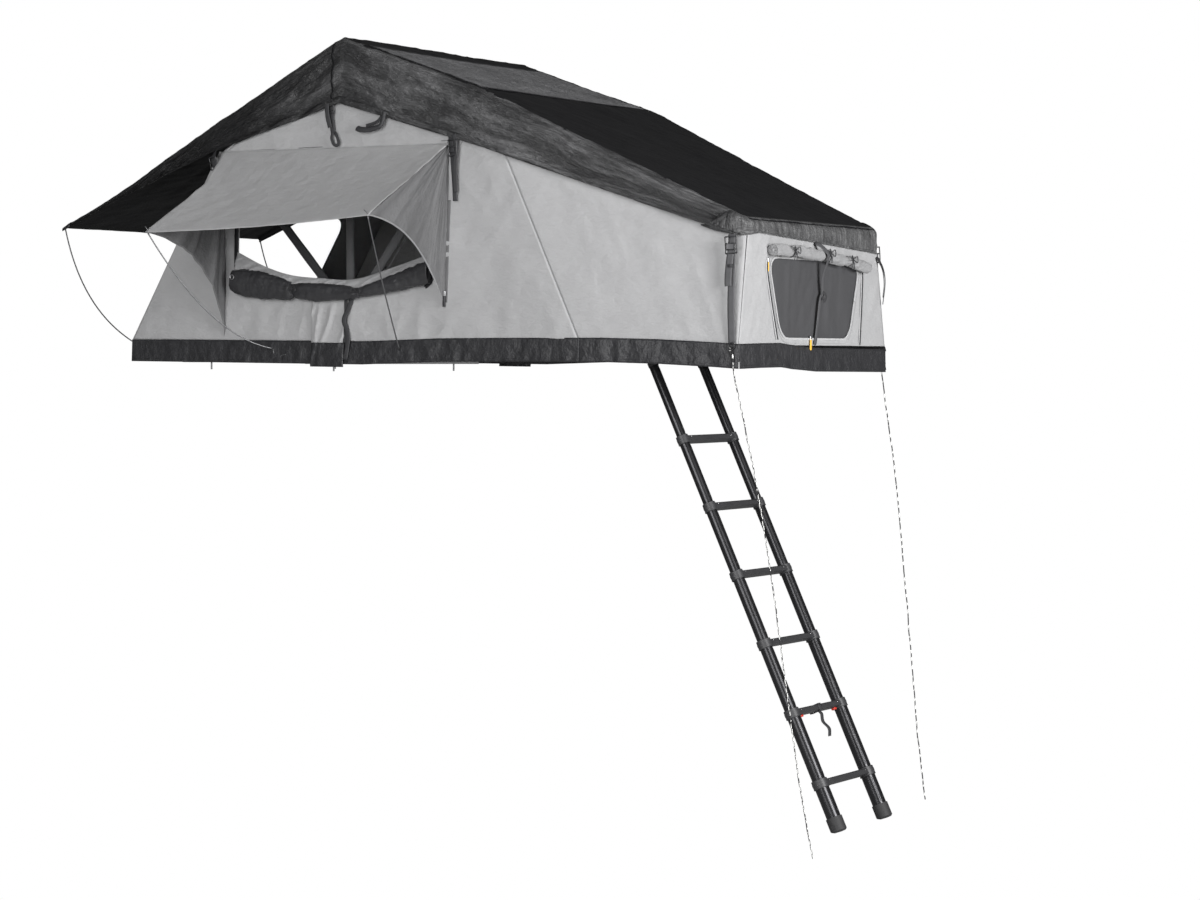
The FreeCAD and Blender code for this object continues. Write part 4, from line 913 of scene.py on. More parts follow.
# %% Tape the hems and the centre seam
hem_near = sheet_object("hem_near", offset_patch(fly_grid, (0, 300), (0, 3), 0.0010), fly_flank_painted_light, thick=0.001)
hem_far = sheet_object("hem_far", offset_patch(fly_grid, (0, 300), (133, 136), 0.0010), fly_flank_painted_light, thick=0.001)
seam_row = int(np.argmin(np.abs(fly_xs - 0.530)))
seam = sheet_object("fly_seam", offset_patch(fly_grid, (seam_row, seam_row + 2), (0, 136), 0.0005),
                    fly_cloth, thick=0.0004)
rear_hem = sheet_object("rear_hem", offset_patch(fly_grid, (0, 5), (0, 136), 0.001), tape_black, thick=0.001)
fly_tapes = join("fly_tapes", [hem_near, hem_far, seam, rear_hem])

# %% [markdown]
# ### End band
#
# A line in plan runs along one side, round both corners and across the end. It is repeated down
# a short profile: over the edge, then straight down to the hem. The band grows out of the side,
# and creases gather at its two corners.

# %% Turn the fly down round the porch end
def band_finish():
    f = Finish("band_painted_light")
    along = f.node("SeparateXYZ", None, {"Vector": f.place()})
    reach = f.node("MapRange", None, {"Value": along, "From Min": 2.40, "From Max": 2.497})
    streak = f.clouds(f.along_cloth((7, 16, 1)), 1.0, 5.0, 0.6)
    pull = f.clouds(f.along_cloth((22, 5, 1)), 1.0, 4.0, 0.6)
    crest = f.node("ValToRGB", {"stops": [(0.35, 0.25), (0.70, 1.0)]}, {0: pull * 0.5 + streak * 0.5})
    # Painted light: the black fly cloth is painted grey here, paler towards the end face, with painted highlights
    # on its crests.
    f.set(Base_Color=f.blend(crest * (0.30 + reach * 0.70), (0.008, 0.008, 0.009), (0.135, 0.135, 0.137)),
          Roughness=0.52 - streak * 0.1)
    f.shape(streak + pull, 1.0, 0.030)
    return f.material


band_painted_light = band_finish()
END_X = END_STATION[0]
BAND_START = 2.30
flank_x = np.linspace(BAND_START, END_X - END_ROUND, 18)
flank_y = np.interp(flank_x, FLY_STATIONS[:, 0], FLY_STATIONS[:, 3]) + np.linspace(0.0002, 0.0025, 18)
turn = np.linspace(0, math.pi / 2, 16)[1:]
arc_x = END_X - END_ROUND + (END_ROUND + 0.0025) * np.sin(turn)
arc_y = END_HALF - END_ROUND + (END_ROUND + 0.0025) * np.cos(turn)
across_y = np.linspace(END_HALF - END_ROUND, 0, 40)[1:]
half_x = np.concatenate([flank_x, arc_x, np.full(39, END_X + 0.0025)])
half_y = np.concatenate([flank_y, arc_y, across_y])
plan = np.stack([np.concatenate([half_x, half_x[-2::-1]]), np.concatenate([-half_y, half_y[-2::-1]])], axis=1)
along_plan = np.gradient(plan, axis=0)
along_plan /= np.linalg.norm(along_plan, axis=1)[:, None]
outward = np.stack([along_plan[:, 1], -along_plan[:, 0]], axis=1)
run = np.concatenate([[0], np.cumsum(np.linalg.norm(np.diff(plan, axis=0), axis=1))])
HEM_Y = [-0.60, -0.565, -0.472, -0.142, 0.20, 0.50, 0.56]
HEM_Z = [0.560, 0.532, 0.545, 0.529, 0.512, 0.497, 0.492]
band_hem = np.interp(plan[:, 1], HEM_Y, HEM_Z)
side_hem = np.interp(plan[:, 0], [2.30, 2.36, 2.42, 2.455], [0.572, 0.552, 0.540, 0.532])
band_hem = np.where(plan[:, 0] < 2.455, side_hem, band_hem)
profile = [(0.026 * (1 - math.sin(a)), 0.026 * (1 - math.cos(a))) for a in np.linspace(0, math.pi / 2, 7)]
band_top = fly_top(plan[:, 0]) + 0.0015
rows = []
for inward, drop in profile:
    rows.append(np.stack([plan[:, 0] - outward[:, 0] * inward, plan[:, 1] - outward[:, 1] * inward,
                          fly_top(plan[:, 0] - outward[:, 0] * inward) + 0.0015 - drop], axis=1))
for share in np.linspace(0, 1, 14)[1:]:
    low = band_top - 0.026 + (band_hem - band_top + 0.026) * share
    rows.append(np.stack([plan[:, 0], plan[:, 1], low], axis=1))
band_grid = np.array(rows)
band_rows = np.linspace(0, 1, len(rows))
plan_edge = band_grid[-1:].copy()
corner_pull = np.exp(-((run - run[26]) / 0.10) ** 2) + 0.6 * np.exp(-((run - run[-27]) / 0.08) ** 2)
whole = (len(rows), len(run))
rays = np.stack([np.broadcast_to(run * 16, whole), np.broadcast_to((band_rows * 2.0)[:, None], whole),
                 np.full(whole, 3.3)], axis=2).reshape(-1, 3)
ripple = (1 - 2 * np.abs(noise(rays)) ** 0.8).reshape(whole)
swell = (0.0025 + 0.0060 * corner_pull)[None, :] * np.maximum(ripple, -0.2)
swell = swell * np.sin(math.pi * band_rows * 0.9)[:, None]
held = np.clip((plan[:, 0] - BAND_START) / 0.05, 0, 1)
grown = np.clip((plan[:, 0] - BAND_START) / 0.135, 0, 1)
grown = 0.04 + 0.96 * grown * grown * (3 - 2 * grown)
band_grid = plan_edge + (band_grid - plan_edge) * grown[None, :, None]
band_grid[..., 0] += outward[:, 0] * (swell * held + 0.0015 * held)
band_grid[..., 1] += outward[:, 1] * (swell * held + 0.0015 * held)
fly_band = sheet_object("fly_end_band", band_grid[:, ::-1], band_painted_light, thick=0.0012, offset=-1.0)
print("the end band faces out:", bool(grid_normals(band_grid[:, ::-1])[12, 60, 0] > 0))
lifted = np.zeros((len(run), 3))
lifted[:, :2] = outward * 0.0012
band_tape = sheet_object("band_hem", (band_grid[-3:] + lifted)[:, ::-1], band_painted_light, thick=0.0008, offset=-1.0)
for piece in (fly_sheet, sky_patch, sky_rim, fly_tapes, fly_band, band_tape):
    dress(piece, "hoop_centre", *(["fly"] if piece is fly_sheet else []))

# %% [markdown]
# ## Canvas walls with openings
#
# A wall with a window is one sheet whose grid runs in rings, from the window's rounded edge out
# to the wall's own edge. The rings keep the quads even round the corners, and they let creases
# fade out where the cloth is held: at its seams and round the opening.

# %% Rings from an opening to an outline
def rounded_edge(u0, u1, v0, v1, radius, angle):
    """The point of a rounded rectangle seen from its middle at an angle."""
    cu, cv = (u0 + u1) / 2, (v0 + v1) / 2
    hu, hv = (u1 - u0) / 2, (v1 - v0) / 2
    c, s = abs(math.cos(angle)), abs(math.sin(angle))
    low, high = 0.0, hu + hv
    for _ in range(50):
        r = (low + high) / 2
        du, dv = max(r * c - (hu - radius), 0), max(r * s - (hv - radius), 0)
        inside = r * c <= hu and r * s <= hv and du ** 2 + dv ** 2 <= radius ** 2
        low, high = (r, high) if inside else (low, r)
    return cu + low * math.cos(angle), cv + low * math.sin(angle)


def outline_edge(outline, centre, angle):
    """Where a ray from the centre leaves a convex outline."""
    d = (math.cos(angle), math.sin(angle))
    best = 1e9
    for (u0, v0), (u1, v1) in zip(outline, outline[1:] + outline[:1]):
        eu, ev = u1 - u0, v1 - v0
        cross = d[0] * ev - d[1] * eu
        if abs(cross) < 1e-12:
            continue
        t = ((u0 - centre[0]) * ev - (v0 - centre[1]) * eu) / cross
        s = ((u0 - centre[0]) * d[1] - (v0 - centre[1]) * d[0]) / cross
        if t > 0 and -1e-9 <= s <= 1 + 1e-9:
            best = min(best, t)
    return centre[0] + best * d[0], centre[1] + best * d[1]


def ring_grid(outline, opening, rings, steps, narrow=None):
    """A closed (rings, steps) grid of flat (u, v) points from an opening to an outline."""
    u0, u1, v0, v1, radius = opening
    centre = ((u0 + u1) / 2, (v0 + v1) / 2)
    angles = list(np.linspace(0, 2 * math.pi, steps, endpoint=False))
    corners = [math.atan2(v - centre[1], u - centre[0]) % (2 * math.pi) for u, v in outline]
    for corner in corners:
        near = int(np.argmin([abs(a - corner) for a in angles]))
        angles[near] = corner
    angles.sort()
    inner = np.array([rounded_edge(u0, u1, v0, v1, radius, a) for a in angles])
    if narrow:
        inner[:, 0] *= narrow(inner[:, 1])
    outer = np.array([outline_edge(outline, centre, a) for a in angles])
    share = np.linspace(0, 1, rings)[:, None, None]
    return inner[None] + (outer - inner)[None] * share


def hold(grid_rings):
    """A mask that lets creases grow away from the held edges of a ring grid."""
    t = np.linspace(0, 1, grid_rings.shape[0])[:, None]
    return np.clip(np.minimum(t / 0.10 + 0.15, (1 - t) / 0.12), 0, 1) * np.ones(grid_rings.shape[:2])


# %% Sew the side walls
WALL_DROP = 0.031
WINDOW = (0.014, 1.053, 0.340, 0.650, 0.060)
wall_outline = [(BASE_REAR, 0.101)] + [(BASE_FRONT, 0.101), (FRONT_TOP[0], FRONT_TOP[1] - WALL_DROP)]
wall_outline += [(CENTRE_TOP[0], CENTRE_TOP[1] - WALL_DROP), (REAR_TOP[0], REAR_TOP[1] - WALL_DROP)]
wall_outline += [(rear_x(REAR_TOP[1] - WALL_DROP), REAR_TOP[1] - WALL_DROP)]
flat_wall = ring_grid(wall_outline, WINDOW, 46, 400)


def wall_sheet(name, side, seed):
    """One long wall: its grid stands in the leaning plane and creases run with the pull."""
    u, v = flat_wall[..., 0], flat_wall[..., 1]
    grid = np.stack([u, np.zeros_like(u), v], axis=2)
    points = grid.reshape(-1, 3)
    lift = 0.0032 * folds(points, (0.75, 0, -1.0), 0.9, 0.20, seed)
    lift += 0.0022 * folds(points, (-0.6, 0, -1.0), 0.7, 0.13, seed + 1)
    lift += 0.0018 * folds(points, (1.0, 0, 0.15), 0.5, 0.05, seed + 2)
    low = np.clip((0.34 - points[:, 2]) / 0.2, 0, 1)
    lift += low * 0.0050 * folds(points, (0.15, 0, 1.0), 0.5, 0.11, seed + 3)
    lift = np.maximum(lift.reshape(u.shape) * hold(flat_wall), -0.0015)
    grid[..., 1] = side * (0.697 - 0.0105 * (v - SKIRT_TOP) + 0.0015 + np.maximum(lift, 0) * 0.9)
    if side > 0:
        grid = grid[:, ::-1]
    return sheet_object(name, grid, canvas, wrap=True, thick=0.0015, offset=-1.0)


near_wall = wall_sheet("side_wall_near_cloth", -1, 31)
far_wall = wall_sheet("side_wall_far_cloth", 1, 41)
dress(near_wall, "hoop_centre", "side_wall_near")
dress(far_wall, "hoop_centre", "side_wall_far")

# %% [markdown]
# ### Rear wall and end wall
#
# The rear wall slopes in over the bed and has a window too. The end wall closes the porch, with
# a mesh window that gets narrower towards its foot.

# %% Sew the rear wall and the end wall
rear_outline = [(-0.696, 0.101), (0.696, 0.101), (0.687, REAR_TOP[1] - 0.004), (-0.687, REAR_TOP[1] - 0.004)]
rear_flat = ring_grid(rear_outline, (-0.400, 0.400, 0.360, 0.680, 0.070), 24, 260)
rear_grid = np.stack([rear_x(rear_flat[..., 1]), rear_flat[..., 0], rear_flat[..., 1]], axis=2)
lift = 0.005 * folds(rear_grid.reshape(-1, 3), (0.3, 0.3, 1), 0.5, 0.12, 51)
rear_grid[..., 0] -= np.abs(lift.reshape(rear_flat.shape[:2])) * hold(rear_flat)
rear_cloth = sheet_object("rear_wall_cloth", rear_grid[:, ::-1], canvas, wrap=True, thick=0.0015, offset=-1.0)
dress(rear_cloth, "hoop_centre", "rear_wall")

DOOR = (-0.388, 0.388, 0.130, 0.450, 0.070)


def door_share(z):
    """The end window is narrower at its foot: its width at height z over its width at the top."""
    return (0.292 + 0.096 * (z - 0.130) / 0.320) / 0.388


end_outline = [(-PORCH_Y, 0.101), (PORCH_Y, 0.101), (PORCH_TOP_Y, 0.558), (0.525, 0.582)]
end_outline += [(-0.525, 0.582), (-PORCH_TOP_Y, 0.558)]
end_flat = ring_grid(end_outline, DOOR, 22, 260, door_share)
end_grid = np.stack([end_x(end_flat[..., 1]), end_flat[..., 0], end_flat[..., 1]], axis=2)
lift = 0.0035 * folds(end_grid.reshape(-1, 3), (0, 0.3, 1), 0.4, 0.09, 61)
end_grid[..., 0] += 0.0015 + np.maximum(lift.reshape(end_flat.shape[:2]), 0) * hold(end_flat)
end_cloth = sheet_object("end_wall_cloth", end_grid, canvas, wrap=True, thick=0.0015, offset=-1.0)
dress(end_cloth, "hoop_centre", "end_wall")

# %% [markdown]
# ### Porch walls
#
# A porch wall is ruled between two slanting edges: the inner one leans with the tent's front
# seam and the outer one stands nearly upright, so it twists by itself. Its folds fade out where
# it is sewn in.

# %% Sew the porch walls
def porch_sheet(name, side, seed):
    t = np.linspace(0, 1, 44)[:, None, None]
    s = np.linspace(0, 1, 70)[None, :, None]
    low = PORCH_SEAM[0] + (PORCH_EDGE[0] - PORCH_SEAM[0]) * s
    high = PORCH_SEAM[1] + (PORCH_EDGE[1] - PORCH_SEAM[1]) * s
    grid = high + (low - high) * t
    points = grid.reshape(-1, 3)
    lift = 0.0026 * folds(points, (0.45, 0, -1.0), 0.8, 0.13, seed)
    lift += 0.0022 * folds(points, (1.0, 0, -0.35), 0.7, 0.16, seed + 1)
    held = np.clip(np.minimum(s[..., 0], 1 - s[..., 0]) / 0.12, 0, 1)
    held = held * np.clip(np.minimum((t[..., 0] - 0.22) * 2, 1 - t[..., 0]) / 0.10, 0, 1)
    grid[..., 1] += 0.0015 + np.maximum(lift.reshape(44, 70) * held, 0)
    grid = grid.copy()
    if side < 0:
        grid[..., 1] *= -1
    else:
        grid = grid[:, ::-1]
    return sheet_object(name, grid, canvas, thick=0.0015, offset=-1.0)


porch_near = porch_sheet("porch_wall_near", -1, 71)
porch_far = porch_sheet("porch_wall_far", 1, 81)
porch_cloth = join("porch_walls_cloth", [porch_near, porch_far])
dress(porch_cloth, "hoop_centre", "porch_walls")

# %% [markdown]
# ### Roof canvas
#
# Under the fly lies the tent's own roof, seen through the windows and from below. It sags a
# little more than the fly, so the two stay apart.

# %% Roof canvas under the fly
roof_xs = np.linspace(REAR_TOP[0], PORCH_TOP[0], 120)
roof_line = np.array([REAR_TOP, CENTRE_TOP, FRONT_TOP, PORCH_TOP])
roof_half = [wall_y(REAR_TOP[1]), wall_y(CENTRE_TOP[1]), wall_y(FRONT_TOP[1]), PORCH_TOP_Y]
roof_grid = np.zeros((len(roof_xs), 61, 3))
for i, x in enumerate(roof_xs):
    z = np.interp(x, roof_line[:, 0], roof_line[:, 1])
    half = np.interp(x, roof_line[:, 0], roof_half) + 0.001
    across = np.linspace(-1, 1, 61)
    s = np.abs(across)
    roof_grid[i, :, 0] = x
    roof_grid[i, :, 1] = np.sign(across) * np.interp(s, [0, 0.88, 0.96, 1],
                                                     [0, half - 0.022, half, half + 0.001])
    roof_grid[i, :, 2] = z + np.interp(s, [0, 0.88, 0.96, 1], [0, 0, -0.022, -0.030])
    roof_grid[i, :, 2] -= fly_sag(x, across * 0.8) * 1.15
roof_cloth = sheet_object("roof_canvas_cloth", roof_grid, canvas, thick=0.0015, offset=-1.0)
dress(roof_cloth, "hoop_centre", "roof_canvas")
print("walls:", [round(grid_area(g), 2) for g in (rear_grid, end_grid, roof_grid)])

# %% [markdown]
# ## The black skirt
#
# A band of heavy coated cloth hangs from the base's edge extrusion all the way round. It is cut
# straight and pulled up a little along the folding half. Short creases cross it, and narrow
# tapes run along its edges and its middle.

# %% Hang the skirt bands
def skirt_rise(x, y):
    """The band is pulled up a little along the fold-out half and dips at the far porch corner."""
    side = np.interp(x, [0.70, 0.85, 1.10, 1.40, 1.90, 2.15, 2.40, 2.50], [0, 6, 16, 20, 24, 20, 10, 4])
    end = np.interp(y, [-0.63, -0.45, -0.30, -0.20, 0.0, 0.63], [4, 8, 10, 2, -8, -12])
    return np.where(x > 2.4985, end, side) * 0.001


def skirt_band(name, start, end, seed, out=(0, -1, 0), columns=160):
    """A hanging band from one top corner to another; out is its outward direction."""
    start, end, out = np.array(start), np.array(end), np.array(out, float)
    s = np.linspace(0, 1, columns)[None, :, None]
    t = np.linspace(0, 1, 12)[:, None, None]
    grid = start + (end - start) * s + np.array([0, 0, -SKIRT_TOP + 0.002]) * t + out * 0.003 * t
    points = grid.reshape(-1, 3)
    along = (end - start) / np.linalg.norm(end - start)
    grid[..., 2] += skirt_rise(grid[..., 0], grid[..., 1])
    ripple = 0.0034 * folds(points, (0, 0, 1.0), 0.35, 0.09, seed) + 0.0024 * noise(points * 9 + seed)
    ripple += 0.0022 * folds(points, (0.7, 0.7, 0.8), 0.12, 0.035, seed + 3)
    ripple = ripple.reshape(grid.shape[:2]) * t[..., 0] * np.clip(np.minimum(s, 1 - s)[..., 0] / 0.02, 0, 1)
    grid = grid + out * np.maximum(ripple, -0.001)[..., None]
    if np.cross(along, np.array([0, 0, -1]))@out < 0:
        grid = grid[:, ::-1]
    band = sheet_object(name, grid, skirt_cloth, thick=0.002, offset=-1.0)
    tapes = []
    for k, height in enumerate((0.006, 0.034, SKIRT_TOP - 0.008)):
        row = min(int(round((1 - height / SKIRT_TOP) * 11)), 10)
        line = grid[row] + out * 0.0014
        tapes.append(strap_object(f"{name}_tape_{k}", line, 0.004 if k == 1 else 0.009, tape_black, out,
                                  0.0008))
    return join(name, [band] + tapes)


y = SKIRT_Y
inner_parts = [skirt_band("skirt_in_near", (BASE_REAR, -y, SKIRT_TOP), (0.5994, -y, SKIRT_TOP), 101),
               skirt_band("skirt_in_far", (BASE_REAR, y, SKIRT_TOP), (0.5994, y, SKIRT_TOP), 102, (0, 1, 0)),
               skirt_band("skirt_in_end", (BASE_REAR, -y, SKIRT_TOP), (BASE_REAR, y, SKIRT_TOP), 103,
                          (-1, 0, 0))]
outer_parts = [skirt_band("skirt_out_near", (0.6004, -y, SKIRT_TOP), (BASE_FRONT, -y, SKIRT_TOP), 104),
               skirt_band("skirt_out_far", (0.6004, y, SKIRT_TOP), (BASE_FRONT, y, SKIRT_TOP), 105, (0, 1, 0))]
inner_band = join("skirt_fixed_half", inner_parts)
outer_band = join("skirt_folding_half", outer_parts)
dress(inner_band, "base_inner", "inner_skirt", gathers=False)
dress(outer_band, "base_outer", "outer_skirt", gathers=False)

lean_out = np.array([0.0996, 1.0, 0]) / math.hypot(0.0996, 1.0)
porch_band = [skirt_band("skirt_porch_near", (BASE_FRONT + 0.0006, -0.6995, SKIRT_TOP),
                         (2.501, -0.629, SKIRT_TOP),
                         106, lean_out * (1, -1, 1)),
              skirt_band("skirt_porch_far", (BASE_FRONT + 0.0006, 0.6995, SKIRT_TOP), (2.501, 0.629, SKIRT_TOP),
                         107, lean_out),
              skirt_band("skirt_porch_end", (2.500, -0.629, SKIRT_TOP), (2.500, 0.629, SKIRT_TOP), 108,
                         (1, 0, 0))]
porch_hem = join("skirt_porch", porch_band)
dress(porch_hem, "hoop_centre", "porch_skirt")

# %% [markdown]
# ## Mattresses
#
# Two foam pads in a cotton cover fill the bed. Each starts as a slightly small block with round
# edges; the cloth solver then inflates it with a little pressure, which crowns the top and pulls
# the sides in between the corners.

# %% Blow up the mattresses
def mattress_pad(name, x0, x1):
    work = bmesh.new()
    bmesh.ops.create_cube(work, size=1.0)
    inset = 0.010
    for vertex in work.verts:
        vertex.co = Vector(((x0 + x1) / 2 + vertex.co.x * (x1 - x0 - 2 * inset),
                            vertex.co.y * (1.200 - 2 * inset), 0.1135 + vertex.co.z * 0.036))
    bmesh.ops.bevel(work, geom=list(work.edges), offset=0.014, segments=4, affect="EDGES", profile=0.5)
    mesh = bpy.data.meshes.new(name)
    work.to_mesh(mesh)
    work.free()
    pad = finish_mesh(name, mesh, mattress_cover)
    remesh = pad.modifiers.new("remesh", "REMESH")
    remesh.mode = "VOXEL"
    remesh.voxel_size = 0.012
    apply_modifiers(pad)
    rest = np.array([v.co for v in pad.data.vertices])
    cloth = pad.modifiers.new("cloth", "CLOTH")
    cloth.settings.use_pressure = True
    cloth.settings.uniform_pressure_force = 4.0
    cloth.settings.effector_weights.gravity = 0.0
    for step in range(1, 15):
        scene.frame_set(step)
    apply_modifiers(pad)
    moved = np.array([v.co for v in pad.data.vertices])
    shift = moved - rest
    size = np.linalg.norm(shift, axis=1, keepdims=True)
    shift *= np.minimum(1.0, 0.009 / np.maximum(size, 1e-9))
    settled = rest + shift
    settled[:, 2] = np.maximum(settled[:, 2], 0.0905)
    pad.data.vertices.foreach_set("co", settled.ravel())
    scene.frame_set(1)
    for polygon in pad.data.polygons:
        polygon.use_smooth = True
    pad.data.update()
    return pad


inner_pad = mattress_pad("mattress_fixed_half", -0.559, 0.595)
outer_pad = mattress_pad("mattress_folding_half", 0.605, 1.788)
dress(inner_pad, "base_inner", "inner_mattress", gathers=False)
dress(outer_pad, "base_outer", "outer_mattress", gathers=False)

# %% [markdown]
# ## The window awnings
#
# Each side window has an awning sewn to the wall along a piped seam. Its sheet is drawn tight
# between two sprung rods, so it bellies a little, and a gusset at each end runs back down to the
# wall. The gussets hang slack, with deep folds that fan out from the seam's end.

# %% Shape one awning
SEAM_Y = 0.6931
AWNING_SEAM = (np.array([-0.073, SEAM_Y, 0.925]), np.array([1.143, SEAM_Y, 0.925]))
AWNING_HEM = (np.array([-0.076, 1.1981, 0.554]), np.array([1.110, 1.1981, 0.606]))
GUSSET_FOOT = (np.array([-0.062, 0.6994, 0.122]), np.array([1.130, 0.6982, 0.250]))
GUSSET_HOLLOW = 0.095


def hollow_edge(t):
    """How far the awning's rear edge is drawn in along its length."""
    return 0.070 * np.interp(t, [0.0, 0.22, 0.40, 0.60, 0.80, 1.0], [0.0, 0.55, 1.0, 0.78, 0.36, 0.0])


def awning_top(seed):
    s = np.linspace(0, 1, 130)[None, :, None]
    t = np.linspace(0, 1, 56)[:, None, None]
    seam_line = AWNING_SEAM[0] + (AWNING_SEAM[1] - AWNING_SEAM[0]) * s
    hem_line = AWNING_HEM[0] + (AWNING_HEM[1] - AWNING_HEM[0]) * s
    hem_line = hem_line - np.array([0, 0.012, 0.010]) * np.sin(math.pi * s)
    grid = seam_line + (hem_line - seam_line) * t
    belly = np.sin(math.pi * t[..., 0]) * np.sin(math.pi * s[..., 0]) ** 0.6
    points = grid.reshape(-1, 3)
    lift = 0.0020 * folds(points, (1.0, 0.7, -0.4), 0.9, 0.12, seed)
    lift += 0.0014 * folds(points, (-0.8, 0.7, -0.4), 0.8, 0.09, seed + 1)
    lift += 0.0008 * folds(points, (0.0, 0.7, -0.4), 0.6, 0.05, seed + 2)
    corner = np.exp(-np.minimum(s, 1 - s)[..., 0] / 0.10) * t[..., 0]
    mask = np.clip(t[..., 0] / 0.06, 0, 1) * np.clip((1 - t[..., 0]) / 0.05 + 0.25, 0, 1)
    grid = grid.copy()
    grid[..., 2] -= 0.016 * belly - lift.reshape(56, 130) * mask * (1 + 0.8 * corner)
    grid[..., 0] += hollow_edge(t[..., 0]) * (1 - s[..., 0]) ** 4
    return grid


def awning_gusset(end, hem_corner, seed):
    """A three-cornered sheet fanned from the seam's end to its hollow free edge."""
    top, foot, out = AWNING_SEAM[end], GUSSET_FOOT[end], hem_corner
    middle = (out + foot) / 2
    inward = (top - middle) / np.linalg.norm(top - middle)
    a = np.linspace(0, 1, 44)
    edge = foot + (out - foot) * a[:, None] + inward * (GUSSET_HOLLOW * np.sin(math.pi * a) ** 0.9)[:, None]
    r = np.linspace(0.002, 1, 40)[:, None, None]
    grid = top + (edge[None] - top) * r
    reach = r[..., 0]
    swing = np.sin(math.pi * a)[None, :] ** 0.7
    fan = np.stack([np.broadcast_to(a[None, :] * 8.0, (40, 44)), reach * 0.9 * np.ones((1, 44)),
                    np.full((40, 44), seed * 3.1)], axis=2).reshape(-1, 3)
    pleat = (1 - 2 * np.abs(noise(fan)) ** 0.8).reshape(40, 44)
    inwards = 1 if end == 0 else -1
    depth = 0.046 if end == 0 else 0.012
    calm = 1 - 0.75 * reach ** 4
    grid = grid.copy()
    grid[..., 0] += inwards * depth * (1.0 + 0.8 * pleat * calm) * swing * reach ** 1.1
    if end == 0:
        grid[..., 0] += hollow_edge(reach) * a[None, :] ** 3
    return grid


def build_awning(side, seed):
    top = awning_top(seed)
    left = awning_gusset(0, top[-1, 0], seed + 3)
    right = awning_gusset(1, top[-1, -1], seed + 4)
    grids = {"top": top[:, ::-1], "left": left, "right": right[:, ::-1]}
    if side < 0:
        grids = {k: g[:, ::-1] * (1, -1, 1) for k, g in grids.items()}
    finishes = {"top": canvas, "left": gusset_left_painted_shade, "right": gusset_right_painted_shade}
    parts = [sheet_object(f"awning_{k}", g, finishes[k], thick=0.0014, offset=0.0) for k, g in grids.items()]
    flip = np.array([1, side, 1])
    parts.append(tube_object("piping", np.linspace(AWNING_SEAM[0], AWNING_SEAM[1], 60) * flip, 0.0024, canvas))
    for k, edge in enumerate((top[-1], left[-1], right[-1])):
        line = edge * flip
        facing = (0, side * 0.6, 0.8) if k == 0 else (1 if k == 1 else -1, 0, 0)
        # The rear gusset's binding is in dark canvas, painted shade like the gusset itself.
        tone = (binding_grey, canvas_dark, seam_grey)[k]
        parts.append(strap_object("binding", line, 0.007, tone, facing, 0.0020))
    area = sum(grid_area(g) for g in grids.values())
    return parts, area


near_parts, awning_area = build_awning(-1, 121)
far_parts, _ = build_awning(1, 131)
awning_near = join("awning_near_cloth", near_parts)
awning_far = join("awning_far_cloth", far_parts)
dress(awning_near, "awning_near_cloth", "awning_near")
dress(awning_far, "awning_far_cloth", "awning_far")
print("one awning holds", round(awning_area, 3), "m2 of cloth")

# %% [markdown]
# ### Awning rods
#
# Two spring-steel rods hold each awning out. They plug in at the skirt and hook into the outer
# corners, where their bent ends stand up a little past the hem. The fly's rear point has a rod
# of its own on each side, bowed well out.

# %% Bend the rods
def bowed(foot, tip, bow, count=40):
    """An arc through two ends that bows out by a vector at its middle."""
    foot, tip, bow = np.array(foot), np.array(tip), np.array(bow)
    t = np.linspace(0, 1, count)[:, None]
    return foot + (tip - foot) * t + bow * (4 * t * (1 - t))


ROD_R = 0.003
FOOT_Y = 0.7035


def awning_rods(side):
    flip = np.array([1, side, 1])
    left_tip, right_tip = AWNING_HEM[0] + (0.008, -0.006, -0.0045), AWNING_HEM[1] + (-0.008, -0.006, -0.0045)
    left_line = bowed((0.215, FOOT_Y, 0.066), left_tip, (0, 0, -0.100))
    right_line = bowed((0.899, FOOT_Y, 0.066), right_tip, (0, 0.006, -0.006))
    left_hook = np.array([left_tip, left_tip + (0.001, 0.006, 0.016), left_tip + (-0.010, 0.008, 0.030)])
    right_hook = np.array([right_tip, right_tip + (0, 0.006, 0.014), right_tip + (-0.014, 0.008, 0.026)])
    loop = [(0.215, FOOT_Y, 0.066), (0.226, FOOT_Y, 0.030), (0.246, FOOT_Y, 0.004), (0.262, FOOT_Y, 0.036),
            (0.288, FOOT_Y, 0.040)]
    lines = [left_line, right_line, smooth_path(left_hook, 8), smooth_path(right_hook, 8),
             smooth_path(loop, 24)]
    return [tube_object("rod", line * flip, ROD_R if k < 2 else 0.0018, rod_steel)
            for k, line in enumerate(lines)]


for side, word in ((-1, "near"), (1, "far")):
    rods = join(f"awning_rods_{word}_steel", awning_rods(side))
    dress(rods, f"awning_{word}_cloth", f"awning_rods_{word}")

rear = [tube_object("rod", bowed((-0.6053, s * 0.688, 0.088), (-1.018, s * 0.6917, 0.599), (-0.054, 0, -0.054)),
                    ROD_R, rod_steel) for s in (-1, 1)]
rear_rods = join("rear_rods_steel", rear)
dress(rear_rods, "hoop_centre", "rear_rods")

# %% [markdown]
# ## Rolled flaps and meshes
#
# Both side windows are open: their dark mesh and grey flap are rolled down onto the sill and
# tied twice, and the slack flap above the roll hangs from the window's lower corners. The end
# window's storm flap is rolled up under the fly with its spiral end showing.

